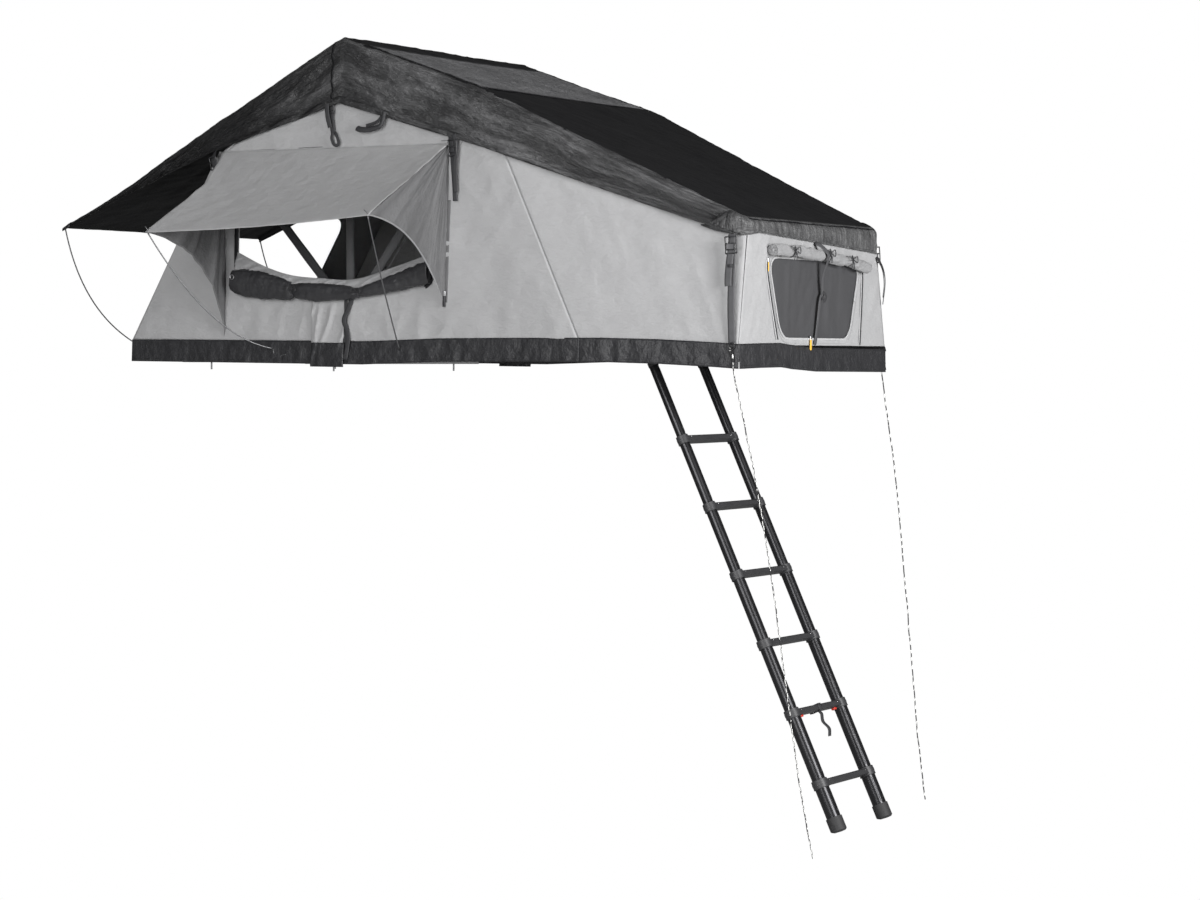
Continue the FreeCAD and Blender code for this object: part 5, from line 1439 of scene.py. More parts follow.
# %% Roll cloth along a line
def crumpled_roll(name, line, radius, material, seed, squeeze=(), tall=None):
    """A loose roll along a line, pinched where it is tied; tall gives its own half height."""
    line = np.array(line)
    tangents, sidew, over = frames_along(line, (0, 0, 1))
    length = np.concatenate([[0], np.cumsum(np.linalg.norm(np.diff(line, axis=0), axis=1))])
    angles = np.linspace(0, 2 * math.pi, 40, endpoint=False)
    ring = np.cos(angles)[None, :, None] * sidew[:, None] + np.sin(angles)[None, :, None] * over[:, None]
    size = np.full(len(line), radius)
    for place in squeeze:
        size *= 1 - (0.30 if tall is None else 0.14) * np.exp(-((length - place * length[-1]) / 0.022) ** 2)
    if tall is not None:
        rise = np.sin(angles)[None, :, None] * over[:, None]
        ring = ring + rise * (tall / radius - 1)[:, None, None]
    points = (line[:, None] + ring * radius).reshape(-1, 3)
    crush = 0.20 * folds(points, tangents[len(line) // 2], 0.22, 0.024, seed)
    crush += 0.10 * noise(points * 28 + seed) + 0.10 * folds(points, (0.6, 0.5, 0.5), 0.08, 0.014, seed + 4)
    if tall is not None:
        crush = crush * 0.45 + 0.10 * folds(points, tangents[len(line) // 2], 0.55, 0.013, seed + 6)
    spiral = 0.10 * (angles / (2 * math.pi) - 0.5)
    profile = 1 + crush.reshape(len(line), 40) + spiral[None, :]
    grid = line[:, None] + ring * (size[:, None] * np.clip(profile, 0.72, 1.22))[..., None]
    roll = sheet_object(name, grid, material, wrap=True, thick=0)
    work = bmesh.new()
    work.from_mesh(roll.data)
    skin = list(work.verts)
    for row, order in ((0, 1), (len(line) - 1, -1)):
        previous = skin[row * 40:row * 40 + 40][::order]
        middle = Vector(line[row])
        inward = Vector(tangents[row]) * (0.006 if row == 0 else -0.006)
        for step in range(1, 5):
            share = 1 - step / 5
            fresh = [work.verts.new(middle + (v.co - middle) * (1 - 1 / (6 - step))
                                    + inward * (1 if step % 2 else -0.8)) for v in previous]
            for k in range(40):
                work.faces.new((previous[k], previous[(k + 1) % 40], fresh[(k + 1) % 40], fresh[k]))
            previous = fresh
        work.faces.new(previous[::-1])
    bmesh.ops.recalc_face_normals(work, faces=work.faces)
    work.to_mesh(roll.data)
    work.free()
    roll.data.polygons.foreach_set("use_smooth", [True] * len(roll.data.polygons))
    return roll


def tie(centre, across, over, radius, material):
    """A thin cord round a roll with two short hanging ends."""
    centre, across, over = (np.array(v, float) for v in (centre, across, over))
    a = np.linspace(0, 2 * math.pi, 28)
    ring = centre + radius * (np.cos(a)[:, None] * across + np.sin(a)[:, None] * over)
    knot = centre + across * radius
    along = np.cross(across, over)
    tail_a = np.array([knot, knot + across * 0.006 - over * 0.012 + along * 0.006,
                       knot - over * 0.034 + along * 0.010])
    tail_b = np.array([knot, knot + across * 0.006 - over * 0.010 - along * 0.007,
                       knot - over * 0.026 - along * 0.012])
    return [tube_object("tie", ring, 0.0016, material, sides=6),
            tube_object("tie", smooth_path(tail_a, 10), 0.0014, material, sides=6),
            tube_object("tie", smooth_path(tail_b, 10), 0.0014, material, sides=6)]

# %% [markdown]
# ### Sleeves of the hoops
#
# Each hoop's leg runs in a flat canvas sleeve, which is what shows through the open windows.

# %% Sleeve the legs of the hoops
sleeve_dark = canvas_finish("sleeve_dark", (0.030, 0.030, 0.032))
sleeve_grey = canvas_finish("sleeve_grey", (0.085, 0.085, 0.088))
SLEEVES = [
    # body, half width of the hoop, length, lean in degrees, finish
    ("hoop_rear", 0.625, 1.009, -43.4, sleeve_dark), ("hoop_centre", 0.650, 1.185, -1.2, sleeve_grey),
    ("hoop_front", 0.671, 1.166, 36.85, sleeve_grey)]
for body, half, length, lean, finish in SLEEVES:
    lean = math.radians(lean)
    reach = np.linspace(0.130, length - 0.110, 60)[:, None]
    parts = []
    for side in (-1, 1):
        line = np.array([HINGE.x, side * half, HINGE.z]) + reach * np.array([math.sin(lean), 0, math.cos(lean)])
        wide = 1.0 + 0.06 * noise(np.stack([reach[:, 0] * 9, np.full(60, side * 2.0), np.full(60, lean)],
                                           axis=1))
        parts.append(tube_object("sleeve", line, 0.0117 * wide, finish, sides=14, flatten=1.75))
    dress(join(f"leg_sleeves_{body[5:]}", parts), body, gathers=False)

# %% [markdown]
# ### Side windows
#
# The cover of a side window hangs in a slack black pouch, with a paler flap of lining above it.
# Both follow curves chosen along the sill, so the pouch can be full at one end and thin at the
# other.

# %% Side windows: rolled pouch, slack flap and ties
POUCH = np.array([
    # x, upper edge, lower edge
    (0.000, 0.404, 0.318), (0.060, 0.408, 0.300), (0.169, 0.392, 0.287), (0.314, 0.352, 0.277),
    (0.347, 0.348, 0.283), (0.473, 0.346, 0.273), (0.624, 0.334, 0.276), (0.690, 0.327, 0.286),
    (0.810, 0.359, 0.303), (0.900, 0.385, 0.318), (1.060, 0.436, 0.350)])
FLAP_TOP = [(0.012, 0.486), (0.160, 0.424), (0.306, 0.384), (0.480, 0.368), (0.659, 0.364), (0.860, 0.412),
            (1.062, 0.470)]
POUCH_DEEP = 0.021
POUCH_Y = 0.7215
TIES = (0.347, 0.700)


def window_dressing(side, seed):
    x = np.linspace(0.000, 1.066, 190)
    upper, lower = (smooth_path(POUCH[:, (0, k)], 300) for k in (1, 2))
    upper = np.interp(x, upper[:, 0], upper[:, 1])
    lower = np.interp(x, lower[:, 0], lower[:, 1])
    line = np.stack([x, np.full(190, side * POUCH_Y), (upper + lower) / 2], axis=1)
    shares = [t / x[-1] for t in TIES]
    parts = [crumpled_roll("pouch", line, POUCH_DEEP, pouch_cloth, seed, shares, (upper - lower) / 2)]
    top = smooth_path(FLAP_TOP, 160)
    t = np.linspace(0, 1, 26)[:, None]
    low = np.interp(top[:, 0], x, (upper + lower) / 2)
    grid = np.zeros((26, 160, 3))
    grid[..., 0] = top[None, :, 0]
    grid[..., 2] = top[None, :, 1] + (low - top[:, 1])[None] * t
    points = grid.reshape(-1, 3)
    wave = 0.010 * folds(points, (1.0, 0, 0.45), 0.35, 0.030, seed + 7).reshape(26, 160)
    wave += 0.006 * folds(points, (1.0, 0, -0.25), 0.30, 0.022, seed + 9).reshape(26, 160)
    grid[..., 1] = side * (0.701 + 0.016 * np.sin(math.pi * t * 0.5) + np.maximum(wave, 0) * np.sin(math.pi * t))
    if side > 0:
        grid = grid[:, ::-1]
    parts.append(sheet_object("flap", grid, lining_grey, thick=0.0014, offset=0.0))
    for place in TIES:
        k = int(np.argmin(np.abs(x - place)))
        half = (upper[k] - lower[k]) / 2
        cord = tie(line[k], (0, side, 0), (0, 0, 1), half * 0.86, webbing)
        bow = [line[k] + (dx, side * (0.020 + abs(dx) * 0.35), dz) for dx, dz in
               ((0, 0.004), (-0.018, 0.018), (-0.024, 0.002), (0, 0.004), (0.020, 0.016), (0.022, -0.004),
                (0, 0.004))]
        cord.append(tube_object("bow", smooth_path(bow, 48), 0.0016, webbing, sides=6))
        parts += cord
    hook = [line[3] + (0.010 * math.cos(a), side * 0.024, 0.016 + 0.010 * math.sin(a))
            for a in np.linspace(0, 2 * math.pi, 22)]
    parts.append(tube_object("ring", hook, 0.0016, bright_steel, sides=6))
    return join("window_roll", parts)


rear_line = np.array([(rear_x(0.345) - 0.020, y, 0.345 + 0.004 * math.cos(y * 9))
                      for y in np.linspace(-0.405, 0.405, 90)])
rear_roll = crumpled_roll("rear_roll", rear_line, 0.020, pouch_cloth, 163, (0.25, 0.75))
rolls = [window_dressing(-1, 141), window_dressing(1, 151), rear_roll]
window_rolls = join("window_rolls_cloth", rolls)
dress(window_rolls, "hoop_centre", "window_rolls")

# %% [markdown]
# ### End window
#
# The end window has fine mesh a little slack in its frame. Its storm flap is rolled above it
# and held by three cords tied in bows.

# %% End window: mesh, rolled storm flap and its ties
mesh_t = np.linspace(0, 1, 40)[:, None]
mesh_s = np.linspace(-0.405, 0.405, 60)[None, :]
end_mesh_grid = np.zeros((40, 60, 3))
end_mesh_grid[..., 2] = 0.466 - 0.350 * mesh_t
end_mesh_grid[..., 1] = mesh_s * door_share(end_mesh_grid[..., 2])
end_mesh_grid[..., 0] = end_x(end_mesh_grid[..., 2]) - 0.0012
slack = 0.004 * folds(end_mesh_grid.reshape(-1, 3), (0, 0.5, 1), 0.3, 0.10, 161).reshape(40, 60)
end_mesh_grid[..., 0] -= np.abs(slack) * np.sin(math.pi * mesh_t) * np.cos(mesh_s / 0.4 * math.pi / 2)
end_screen = sheet_object("end_mesh", end_mesh_grid, end_mesh, thick=0.0008, offset=-1.0)
dress(end_screen, "hoop_centre", "window_mesh")

DOOR_LINE = [(-0.405, 0.482), (-0.330, 0.486), (-0.257, 0.480), (-0.190, 0.486), (-0.131, 0.480),
             (0.006, 0.475), (0.050, 0.478), (0.094, 0.467), (0.209, 0.458), (0.270, 0.457),
             (0.326, 0.445), (0.412, 0.436)]
door_path = smooth_path(DOOR_LINE, 150)
door_line = np.stack([np.full(150, 2.522), door_path[:, 0], door_path[:, 1] - 0.004], axis=1)
door_roll = crumpled_roll("storm_flap_roll", door_line, 0.021, storm_cloth, 171, (0.18, 0.52, 0.76))
door_ties = []
for place in (27, 78, 114):
    door_ties += tie(door_line[place], (1, 0, 0), (0, 0, 1), 0.0205, webbing)
    bow = [door_line[place] + (0.024 + abs(dy) * 0.3, dy, dz) for dy, dz in
           ((0, 0.006), (-0.020, 0.022), (-0.026, 0.004), (0, 0.006), (0.022, 0.020), (0.024, -0.006),
            (0, 0.006),
            (0.006, -0.018), (0.004, -0.034))]
    door_ties.append(tube_object("bow", smooth_path(bow, 60), 0.0020, webbing, sides=6))
door_piece = join("door_roll_cloth", [door_roll] + door_ties)
dress(door_piece, "hoop_centre", "door_roll")

# %% [markdown]
# ## Zips, straps and buckles
#
# Zips follow the edges of the openings: a tape with a row of small teeth. The teeth repeat, so a
# small Geometry Nodes tree places one tooth again and again along a line. The same tree sets
# stitches when it is given another pitch and size.

# %% A node tree that repeats a shape along a line
def repeater():
    """Geometry Nodes: resample a line and put a small block at every step."""
    tree = bpy.data.node_groups.new("repeat along a line", "GeometryNodeTree")
    face = tree.interface
    face.new_socket("Line", in_out="INPUT", socket_type="NodeSocketGeometry")
    for label, start in (("Pitch", 0.005), ("Length", 0.002), ("Width", 0.003), ("Height", 0.001)):
        face.new_socket(label, in_out="INPUT", socket_type="NodeSocketFloat").default_value = start
    face.new_socket("Finish", in_out="INPUT", socket_type="NodeSocketMaterial")
    face.new_socket("Shapes", in_out="OUTPUT", socket_type="NodeSocketGeometry")
    into, out = tree.nodes.new("NodeGroupInput"), tree.nodes.new("NodeGroupOutput")
    curve = tree.nodes.new("GeometryNodeMeshToCurve")
    steps = tree.nodes.new("GeometryNodeCurveToPoints")
    steps.mode = "LENGTH"
    size = tree.nodes.new("ShaderNodeCombineXYZ")
    block = tree.nodes.new("GeometryNodeMeshCube")
    place = tree.nodes.new("GeometryNodeInstanceOnPoints")
    real = tree.nodes.new("GeometryNodeRealizeInstances")
    paint = tree.nodes.new("GeometryNodeSetMaterial")
    join_wires = [(into, "Line", curve, "Mesh"), (curve, "Curve", steps, "Curve"),
                  (into, "Pitch", steps, "Length"),
                  (into, "Length", size, "X"), (into, "Width", size, "Y"), (into, "Height", size, "Z"),
                  (size, "Vector", block, "Size"), (steps, "Points", place, "Points"),
                  (block, "Mesh", place, "Instance"), (steps, "Rotation", place, "Rotation"),
                  (place, "Instances", real, "Geometry"), (real, "Geometry", paint, "Geometry"),
                  (into, "Finish", paint, "Material"), (paint, "Geometry", out, "Shapes")]
    for a, b, c, d in join_wires:
        tree.links.new(a.outputs[b], c.inputs[d])
    return tree


REPEAT = repeater()


def repeat_along(name, line, pitch, length, width, height, material):
    """Blocks repeated along a line of points, as a plain mesh."""
    line = [tuple(p) for p in line]
    mesh = bpy.data.meshes.new(name)
    mesh.from_pydata(line, [(i, i + 1) for i in range(len(line) - 1)], [])
    piece = bpy.data.objects.new(name, mesh)
    scene.collection.objects.link(piece)
    modifier = piece.modifiers.new("repeat", "NODES")
    modifier.node_group = REPEAT
    values = {"Pitch": pitch, "Length": length, "Width": width, "Height": height, "Finish": material}
    for item in REPEAT.interface.items_tree:
        if item.in_out == "INPUT" and item.name in values:
            modifier[item.identifier] = values[item.name]
    return apply_modifiers(piece)

# %% [markdown]
# ### Straps of the fly
#
# The fly is held down by straps with ladder-lock buckles. Each strap is a ribbon through a few
# points on the wall, and the buckle is a frame of thin tubes, as a moulded one would look.

# %% Buckles, stitched straps and loops
def ladder_lock(centre, along, across, size, material):
    """A ladder-lock buckle: a frame with two bars, drawn from its own two directions."""
    centre, along, across = (np.array(v, float) for v in (centre, along, across))
    out = np.cross(across, along)
    length, width = size
    pieces = []
    for s in (-1, 1):
        rail = np.array([centre + across * s * width / 2 + along * t * length / 2 + out * 0.002 * (1 - t * t)
                         for t in np.linspace(-1, 1, 9)])
        pieces.append(tube_object("buckle", rail, 0.0026, material))
    for t, thick in ((-1, 0.0026), (-0.15, 0.0030), (0.55, 0.0024), (1, 0.0030)):
        bar = np.array([centre + across * s * width / 2 + along * t * length / 2 + out * 0.0018
                        for s in np.linspace(-1, 1, 5)])
        pieces.append(tube_object("buckle", bar, thick, material))
    return pieces


def strap_piece(points, width, facing, material=None, thick=0.0016):
    return strap_object("strap", smooth_path(points, 40), width, material or webbing, facing, thick)


SIDE_STRAPS = [
    # width, then points as x, z and the distance off the wall's straps
    (0.026, [(-0.108, 0.928, 0.010), (-0.092, 0.908, 0.040), (-0.080, 0.884, 0.058)]),
    (0.030, [(-0.070, 0.884, 0.066), (-0.056, 0.858, 0.070), (-0.044, 0.832, 0.064)]),
    (0.025, [(0.520, 1.136, 0), (0.522, 1.100, 0), (0.526, 1.070, 0), (0.532, 1.020, 0), (0.538, 0.985, 0)]),
    (0.014, [(0.538, 0.990, 0.003), (0.534, 0.965, 0.006), (0.546, 0.938, 0.006), (0.566, 0.934, 0.006),
             (0.570, 0.952, 0.006), (0.550, 0.990, 0.003)]),
    (0.022, [(0.508, 1.112, 0.010), (0.516, 1.060, 0.014), (0.528, 1.010, 0.010)]),
    (0.022, [(1.152, 0.966, 0), (1.160, 0.900, 0), (1.168, 0.840, 0), (1.176, 0.760, 0), (1.182, 0.685, 0)]),
    (0.024, [(1.172, 0.962, 0.004), (1.190, 0.905, 0.008), (1.186, 0.850, 0.010), (1.184, 0.780, 0.006),
             (1.186, 0.720, 0.004)]),
    (0.012, [(0.796, 1.066, 0), (0.790, 1.040, 0.004), (0.764, 1.022, 0.006), (0.716, 1.012, 0.004)]),
]
BUCKLES = [
    # middle, lean and drop of its length, length and width
    ((-0.072, 0.872, 0.066), (0.25, 0.97), (0.056, 0.036)),
    ((0.521, 1.098, 0.007), (0.08, 1), (0.056, 0.040)),
    ((1.172, 0.905, 0.012), (0.06, 1), (0.066, 0.040)),
]


def side_strap_set(side):
    """The fly's three tie-downs and its handle loop on one long wall."""
    def at(x, z, off=0.0):
        return (x, side * (wall_y(z) + 0.014 + off), z)

    parts = [strap_piece([at(*p) for p in points], width, (0, side, 0)) for width, points in SIDE_STRAPS]
    for middle, (lean, drop), size in BUCKLES:
        parts += ladder_lock(at(*middle), (lean, 0, -drop), (drop, 0, lean), size, dark_plastic)
    handle = smooth_path([at(0.812, 1.066, 0.004), at(0.808, 1.030, 0.010), at(0.796, 1.008, 0.012),
                          at(0.764, 0.998, 0.012), at(0.722, 0.994, 0.012), at(0.690, 0.996, 0.010),
                          at(0.672, 1.002, 0.006)], 50)
    parts.append(tube_object("handle", handle, 0.0135, webbing, sides=10, flatten=0.62))
    return parts


side_straps = join("side_straps_webbing", side_strap_set(-1) + side_strap_set(1))
dress(side_straps, "hoop_centre", "side_straps")

# %% [markdown]
# ### Corner straps
#
# A strap runs down each porch corner to a ring, where the guy rope is knotted. It keeps to the
# wall's own twisted surface.

# %% Corner straps on the porch walls
CORNER_TOP = (2.443, 0.536)
CORNER_LOW = (2.4725, 0.107)
RING_Y = 0.6368


def corner_strap_set(side):
    def at(x, z, off=0.0):
        y = RING_Y if z < 0.112 else max(porch_y(x, z), RING_Y - 0.012 * max(0.0, (z - 0.112) / 0.1))
        return (x, side * (y + off + 0.009 * min(1.0, (z - 0.107) / 0.05)), z)

    out = (0.1, side, 0)
    length = [0.0, 0.2, 0.45, 0.7, 1.0]
    main = [at(CORNER_TOP[0] + (CORNER_LOW[0] - CORNER_TOP[0]) * t,
               CORNER_TOP[1] + (CORNER_LOW[1] - CORNER_TOP[1]) * t)
            for t in length]
    parts = [strap_piece(main, 0.031, out, webbing_grey)]
    tail = [at(2.452, 0.500, 0.008), at(2.449, 0.455, 0.011), at(2.445, 0.400, 0.010), at(2.447, 0.350, 0.012),
            at(2.449, 0.330, 0.010)]
    parts.append(strap_piece(tail, 0.030, out, webbing_grey))
    parts += ladder_lock(at(2.450, 0.492, 0.016), (0.07, 0, -1), (1, 0, 0.07), (0.066, 0.050), dark_plastic)
    parts.append(rounded_block("buckle", *sorted([at(2.432, 0.474, 0.014), at(2.468, 0.498, 0.020)]), 0.002,
                               buckle_grey))
    keeper = [at(2.440, 0.410, 0.012), at(2.452, 0.410, 0.015), at(2.464, 0.410, 0.012)]
    parts.append(strap_piece(keeper, 0.012, out))
    ring = []
    for a in np.linspace(0, 2 * math.pi, 25):
        ring.append((2.4725 + 0.0135 * math.cos(a), side * (RING_Y + 0.0022), 0.0955 + 0.0125 * math.sin(a)))
    parts.append(tube_object("ring", ring, 0.0020, dark_plastic))
    knot_line = []
    for a in np.linspace(0, 4.6 * math.pi, 60):
        share = a / (4.6 * math.pi)
        radius = 0.0058 + 0.0012 * math.sin(3 * a)
        knot_line.append((2.4725 + radius * math.cos(a), side * (RING_Y + 0.0035 + radius * 0.8 * math.sin(a)),
                          0.094 - 0.026 * share))
    parts.append(tube_object("knot", knot_line, 0.0024, braid))
    tail_line = smooth_path([(2.4725, side * (RING_Y + 0.006), 0.076), (2.482, side * (RING_Y + 0.010), 0.060),
                             (2.486, side * (RING_Y + 0.008), 0.036)], 16)
    parts.append(tube_object("knot", tail_line, 0.0024, braid))
    return parts


corner_straps = join("corner_straps_webbing", corner_strap_set(-1) + corner_strap_set(1))
dress(corner_straps, "hoop_centre", "corner_straps")

# %% [markdown]
# ### Zips of the end window
#
# A pale rim with stitches frames the mesh, and a zip runs down either side of it. A strap hangs
# from the hem of the fly over the middle, with a twist where it turns over.

# %% Zips of the end window, its centre strap and yellow pulls
def opening_line(opening, grow, place, start=0.0, stop=2 * math.pi, count=150):
    u0, u1, v0, v1, radius = opening
    return np.array([place(*rounded_edge(u0 - grow, u1 + grow, v0 - grow, v1 + grow, radius, a))
                     for a in np.linspace(start, stop, count)])


def on_end(u, v, off=0.0045):
    return np.array([end_x(v) + off, u, v])


def on_door(u, v, off=0.0045):
    return on_end(u * door_share(v), v, off)


zip_parts = [strap_object("rim", opening_line(DOOR, 0.003, on_door), 0.009, binding_grey, (1, 0, 0), 0.0012)]
frame_line = opening_line(DOOR, 0.020, on_door)
zip_parts.append(repeat_along("stitches", frame_line, 0.007, 0.0008, 0.0008, 0.0042, seam_grey))
for drop in ([(-0.400, 0.446), (-0.404, 0.400), (-0.372, 0.280), (-0.324, 0.125)],
             [(0.402, 0.450), (0.415, 0.410), (0.408, 0.290), (0.388, 0.108)]):
    drop = smooth_path([on_end(u, v, 0.006) for u, v in drop], 70)
    zip_parts.append(strap_object("zip_tape", drop, 0.022, binding_grey, (1, 0, 0), 0.0010))
    zip_parts.append(strap_object("zip_tape", drop + np.array([0.0008, 0, 0]), 0.0085, tape_black, (1, 0, 0),
                                  0.0010))
    zip_parts.append(repeat_along("zip_teeth", drop + np.array([0.002, 0, 0]), 0.0046, 0.0026, 0.0026, 0.005,
                                  dark_plastic))
hang = [on_end(-0.014, 0.522, 0.014), on_end(-0.004, 0.504, 0.040), on_end(0.008, 0.474, 0.062),
        on_end(0.020, 0.440, 0.050),
        on_end(0.032, 0.380, 0.024), on_end(0.041, 0.313, 0.016), on_end(0.026, 0.290, 0.014),
        on_end(0.006, 0.190, 0.011),
        on_end(-0.014, 0.104, 0.009)]
zip_parts.append(strap_piece(hang, 0.021, (1, 0, 0), webbing_grey))
twist = [on_end(0.041, 0.322, 0.019), on_end(0.052, 0.302, 0.026), on_end(0.042, 0.284, 0.023),
         on_end(0.032, 0.300, 0.019)]
zip_parts.append(strap_piece(twist, 0.012, (1, 0, 0)))
for k, depth in enumerate((0.0, 0.010)):
    loop_line = [(end_x(0.4) + 0.004, 0.548 + 0.012 * k, 0.480), (end_x(0.4) + 0.018, 0.575 + depth, 0.430),
                 (end_x(0.4) + 0.020, 0.590 + depth, 0.370), (end_x(0.4) + 0.014, 0.592, 0.310 - 0.03 * k)]
    zip_parts.append(strap_piece(loop_line, 0.020, (1, 0.4, 0)))
zip_parts.append(rounded_block("pull", on_end(-0.058, 0.082, 0.008), on_end(-0.044, 0.128, 0.011), 0.0012,
                               yellow_plastic))
zip_parts.append(rounded_block("pull", on_end(-0.056, 0.122, 0.005), on_end(-0.046, 0.140, 0.012), 0.002,
                               bright_steel))
zips = join("end_wall_zips", zip_parts)
dress(zips, "hoop_centre")

slider_body = rounded_block("slider", on_end(-0.4055, 0.430, 0.005), on_end(-0.3965, 0.448, 0.012), 0.0015,
                            bright_steel)
slider_pull = rounded_block("slider", on_end(-0.4045, 0.394, 0.008), on_end(-0.3975, 0.434, 0.011), 0.0012,
                            yellow_plastic)
slider = join("zip_slider_pull", [slider_body, slider_pull])
dress(slider, "zip", "zip_slider")

# %% [markdown]
# ### Zips of the side windows
#
# The zip runs round the top of the opening. The awning's front gusset closes against the wall
# with a zip of its own, and the wall's seams are narrow strips.

# %% Zips and stitching of the side windows
def side_place(side):
    return lambda u, v, off=0.0035: np.array([u, side * (wall_y(v) + 0.002 + off), v])


for side, word in ((-1, "near"), (1, "far")):
    place = side_place(side)
    line = opening_line(WINDOW, 0.012, place, -0.32, math.pi + 0.32, 260)
    parts = [strap_object("zip_tape", line, 0.022, tape_black, (0, side, 0), 0.0012)]
    parts.append(repeat_along("zip_teeth", line + np.array([0, side * 0.0014, 0]), 0.0052, 0.0024, 0.0024,
                              0.006,
                              dark_plastic))
    wall_zip = np.array([place(1.146 - 0.010 * t, 0.690 - 0.425 * t, 0.004) for t in np.linspace(0, 1, 60)])
    parts.append(strap_object("zip_tape", wall_zip, 0.014, canvas_dark, (0, side, 0), 0.0012))
    for low, high, paint in (((1.128, 0.292), (1.140, 0.312), bright_steel),
                             ((1.126, 0.246), (1.137, 0.292), dark_plastic)):
        near, far = place(*low, 0.008), place(*high, 0.016)
        parts.append(rounded_block("slider", np.minimum(near, far), np.maximum(near, far), 0.0012, paint))
    for start, stop in (((-0.10, 0.925), (0.530, 0.931)), ((0.540, 0.931), (1.160, 0.937))):
        seam_line = np.array([place(start[0] + (stop[0] - start[0]) * t, start[1] + (stop[1] - start[1]) * t,
                                    0.0012)
                              for t in np.linspace(0, 1, 60)])
        parts.append(strap_object("seam", seam_line, 0.003, canvas_dark, (0, side, 0), 0.0004))
    slant = np.array([place(HINGE.x + 0.010 + (FRONT_TOP[0] - 0.012 - HINGE.x) * t, 0.104 + 0.960 * t, 0.0010)
                      for t in np.linspace(0, 1, 60)])
    parts.append(strap_object("seam", slant, 0.0026, canvas_dark, (0, side, 0), 0.0004))
    trim = join(f"window_trim_{word}", parts)
    dress(trim, "hoop_centre")

# %% [markdown]
# ## Fold flaps
#
# Where the base folds, a loose cloth flap covers the hinge on each long side. Its lower part is
# black like the skirt, and a strap with a kinked tail hangs beside it.

# %% Hang the fold flaps
def fold_flap(side):
    y_out = side * 0.7045
    t = np.linspace(0, 1, 40)[:, None]
    s = np.linspace(0, 1, 26)[None, :]
    grid = np.zeros((40, 26, 3))
    grid[..., 0] = 0.431 + 0.180 * s - 0.004 * t
    grid[..., 2] = 0.278 - 0.288 * t
    bend = 0.010 * folds(grid.reshape(-1, 3), (0.35, 0, 1), 0.25, 0.05, 181 if side < 0 else 182).reshape(40, 26)
    grid[..., 1] = y_out + side * (np.maximum(bend, 0) * np.minimum(1, t * 5) + 0.002)
    if side > 0:
        grid = grid[:, ::-1]
    split = 25
    upper = sheet_object("flap", grid[:split + 1], canvas, thick=0.0014, offset=-1.0)
    lower = sheet_object("flap", grid[split:], skirt_cloth, thick=0.0014, offset=-1.0)
    black_edge = strap_object("edge", smooth_path([grid[0, -1 if side < 0 else 0] + (0.004, side * 0.001, 0.004),
                              grid[12, -1 if side < 0 else 0] + (0.006, side * 0.001, 0),
                              grid[split, -1 if side < 0 else 0] + (0.004, side * 0.001, 0)], 30), 0.016,
                              webbing,
                              (0, side, 0))
    strap = strap_piece([(0.650, y_out + side * 0.003, 0.290), (0.634, y_out + side * 0.008, 0.240),
                         (0.612, y_out + side * 0.012, 0.190), (0.628, y_out + side * 0.012, 0.150),
                         (0.632, y_out + side * 0.009, 0.100), (0.618, y_out + side * 0.009, 0.020)], 0.022,
                        (0, side, 0))
    return [upper, lower, black_edge, strap]


flaps = join("fold_flaps_cloth", fold_flap(-1) + fold_flap(1))
dress(flaps, "base_inner", "fold_flaps", gathers=False)

# %% [markdown]
# ## Guy ropes
#
# The two ropes run from the porch's lower corners to the ground. They are pulled nearly tight,
# so their route is almost straight. The points are the same as the CAD rope's; a smooth spline
# through them is sampled and given a tube with its own UV map for the braid.

# %% Run the ropes
ROPE_RADIUS = 0.0025
ROPE_NEAR = [(2.4725, -0.6393, 0.0814), (2.476, -0.637, 0.002), (2.531, -0.642, -0.190),
             (2.624, -0.664, -0.520),
             (2.714, -0.703, -0.880), (2.786, -0.734, -1.210), (2.846, -0.761, -1.480), (2.902, -0.784, -1.700),
             (2.944, -0.792, -1.852)]
ROPE_FAR = [(2.4725, 0.6393, 0.0814), (2.476, 0.6375, 0.002), (2.510, 0.641, -0.190), (2.564, 0.648, -0.560),
            (2.599, 0.654, -0.920), (2.636, 0.662, -1.290), (2.662, 0.671, -1.600), (2.692, 0.689, -1.846)]


def spline_points(route, count):
    """Points along a quadratic NURBS curve through a given route."""
    curve = bpy.data.curves.new("route", "CURVE")
    curve.dimensions = "3D"
    spline = curve.splines.new("NURBS")
    spline.points.add(len(route) - 1)
    for point, place in zip(spline.points, route):
        point.co = (*place, 1.0)
    spline.order_u = 3
    spline.use_endpoint_u = True
    spline.resolution_u = 24
    holder = bpy.data.objects.new("route", curve)
    scene.collection.objects.link(holder)
    bpy.context.view_layer.update()
    mesh = bpy.data.meshes.new_from_object(holder.evaluated_get(bpy.context.evaluated_depsgraph_get()))
    points = np.array([v.co for v in mesh.vertices])
    bpy.data.objects.remove(holder)
    if np.linalg.norm(points[0] - np.array(route[0])) > np.linalg.norm(points[-1] - np.array(route[0])):
        points = points[::-1]
    run = np.concatenate([[0], np.cumsum(np.linalg.norm(np.diff(points, axis=0), axis=1))])
    even = np.linspace(0, run[-1], count)
    return np.stack([np.interp(even, run, points[:, k]) for k in range(3)], axis=1), float(run[-1])


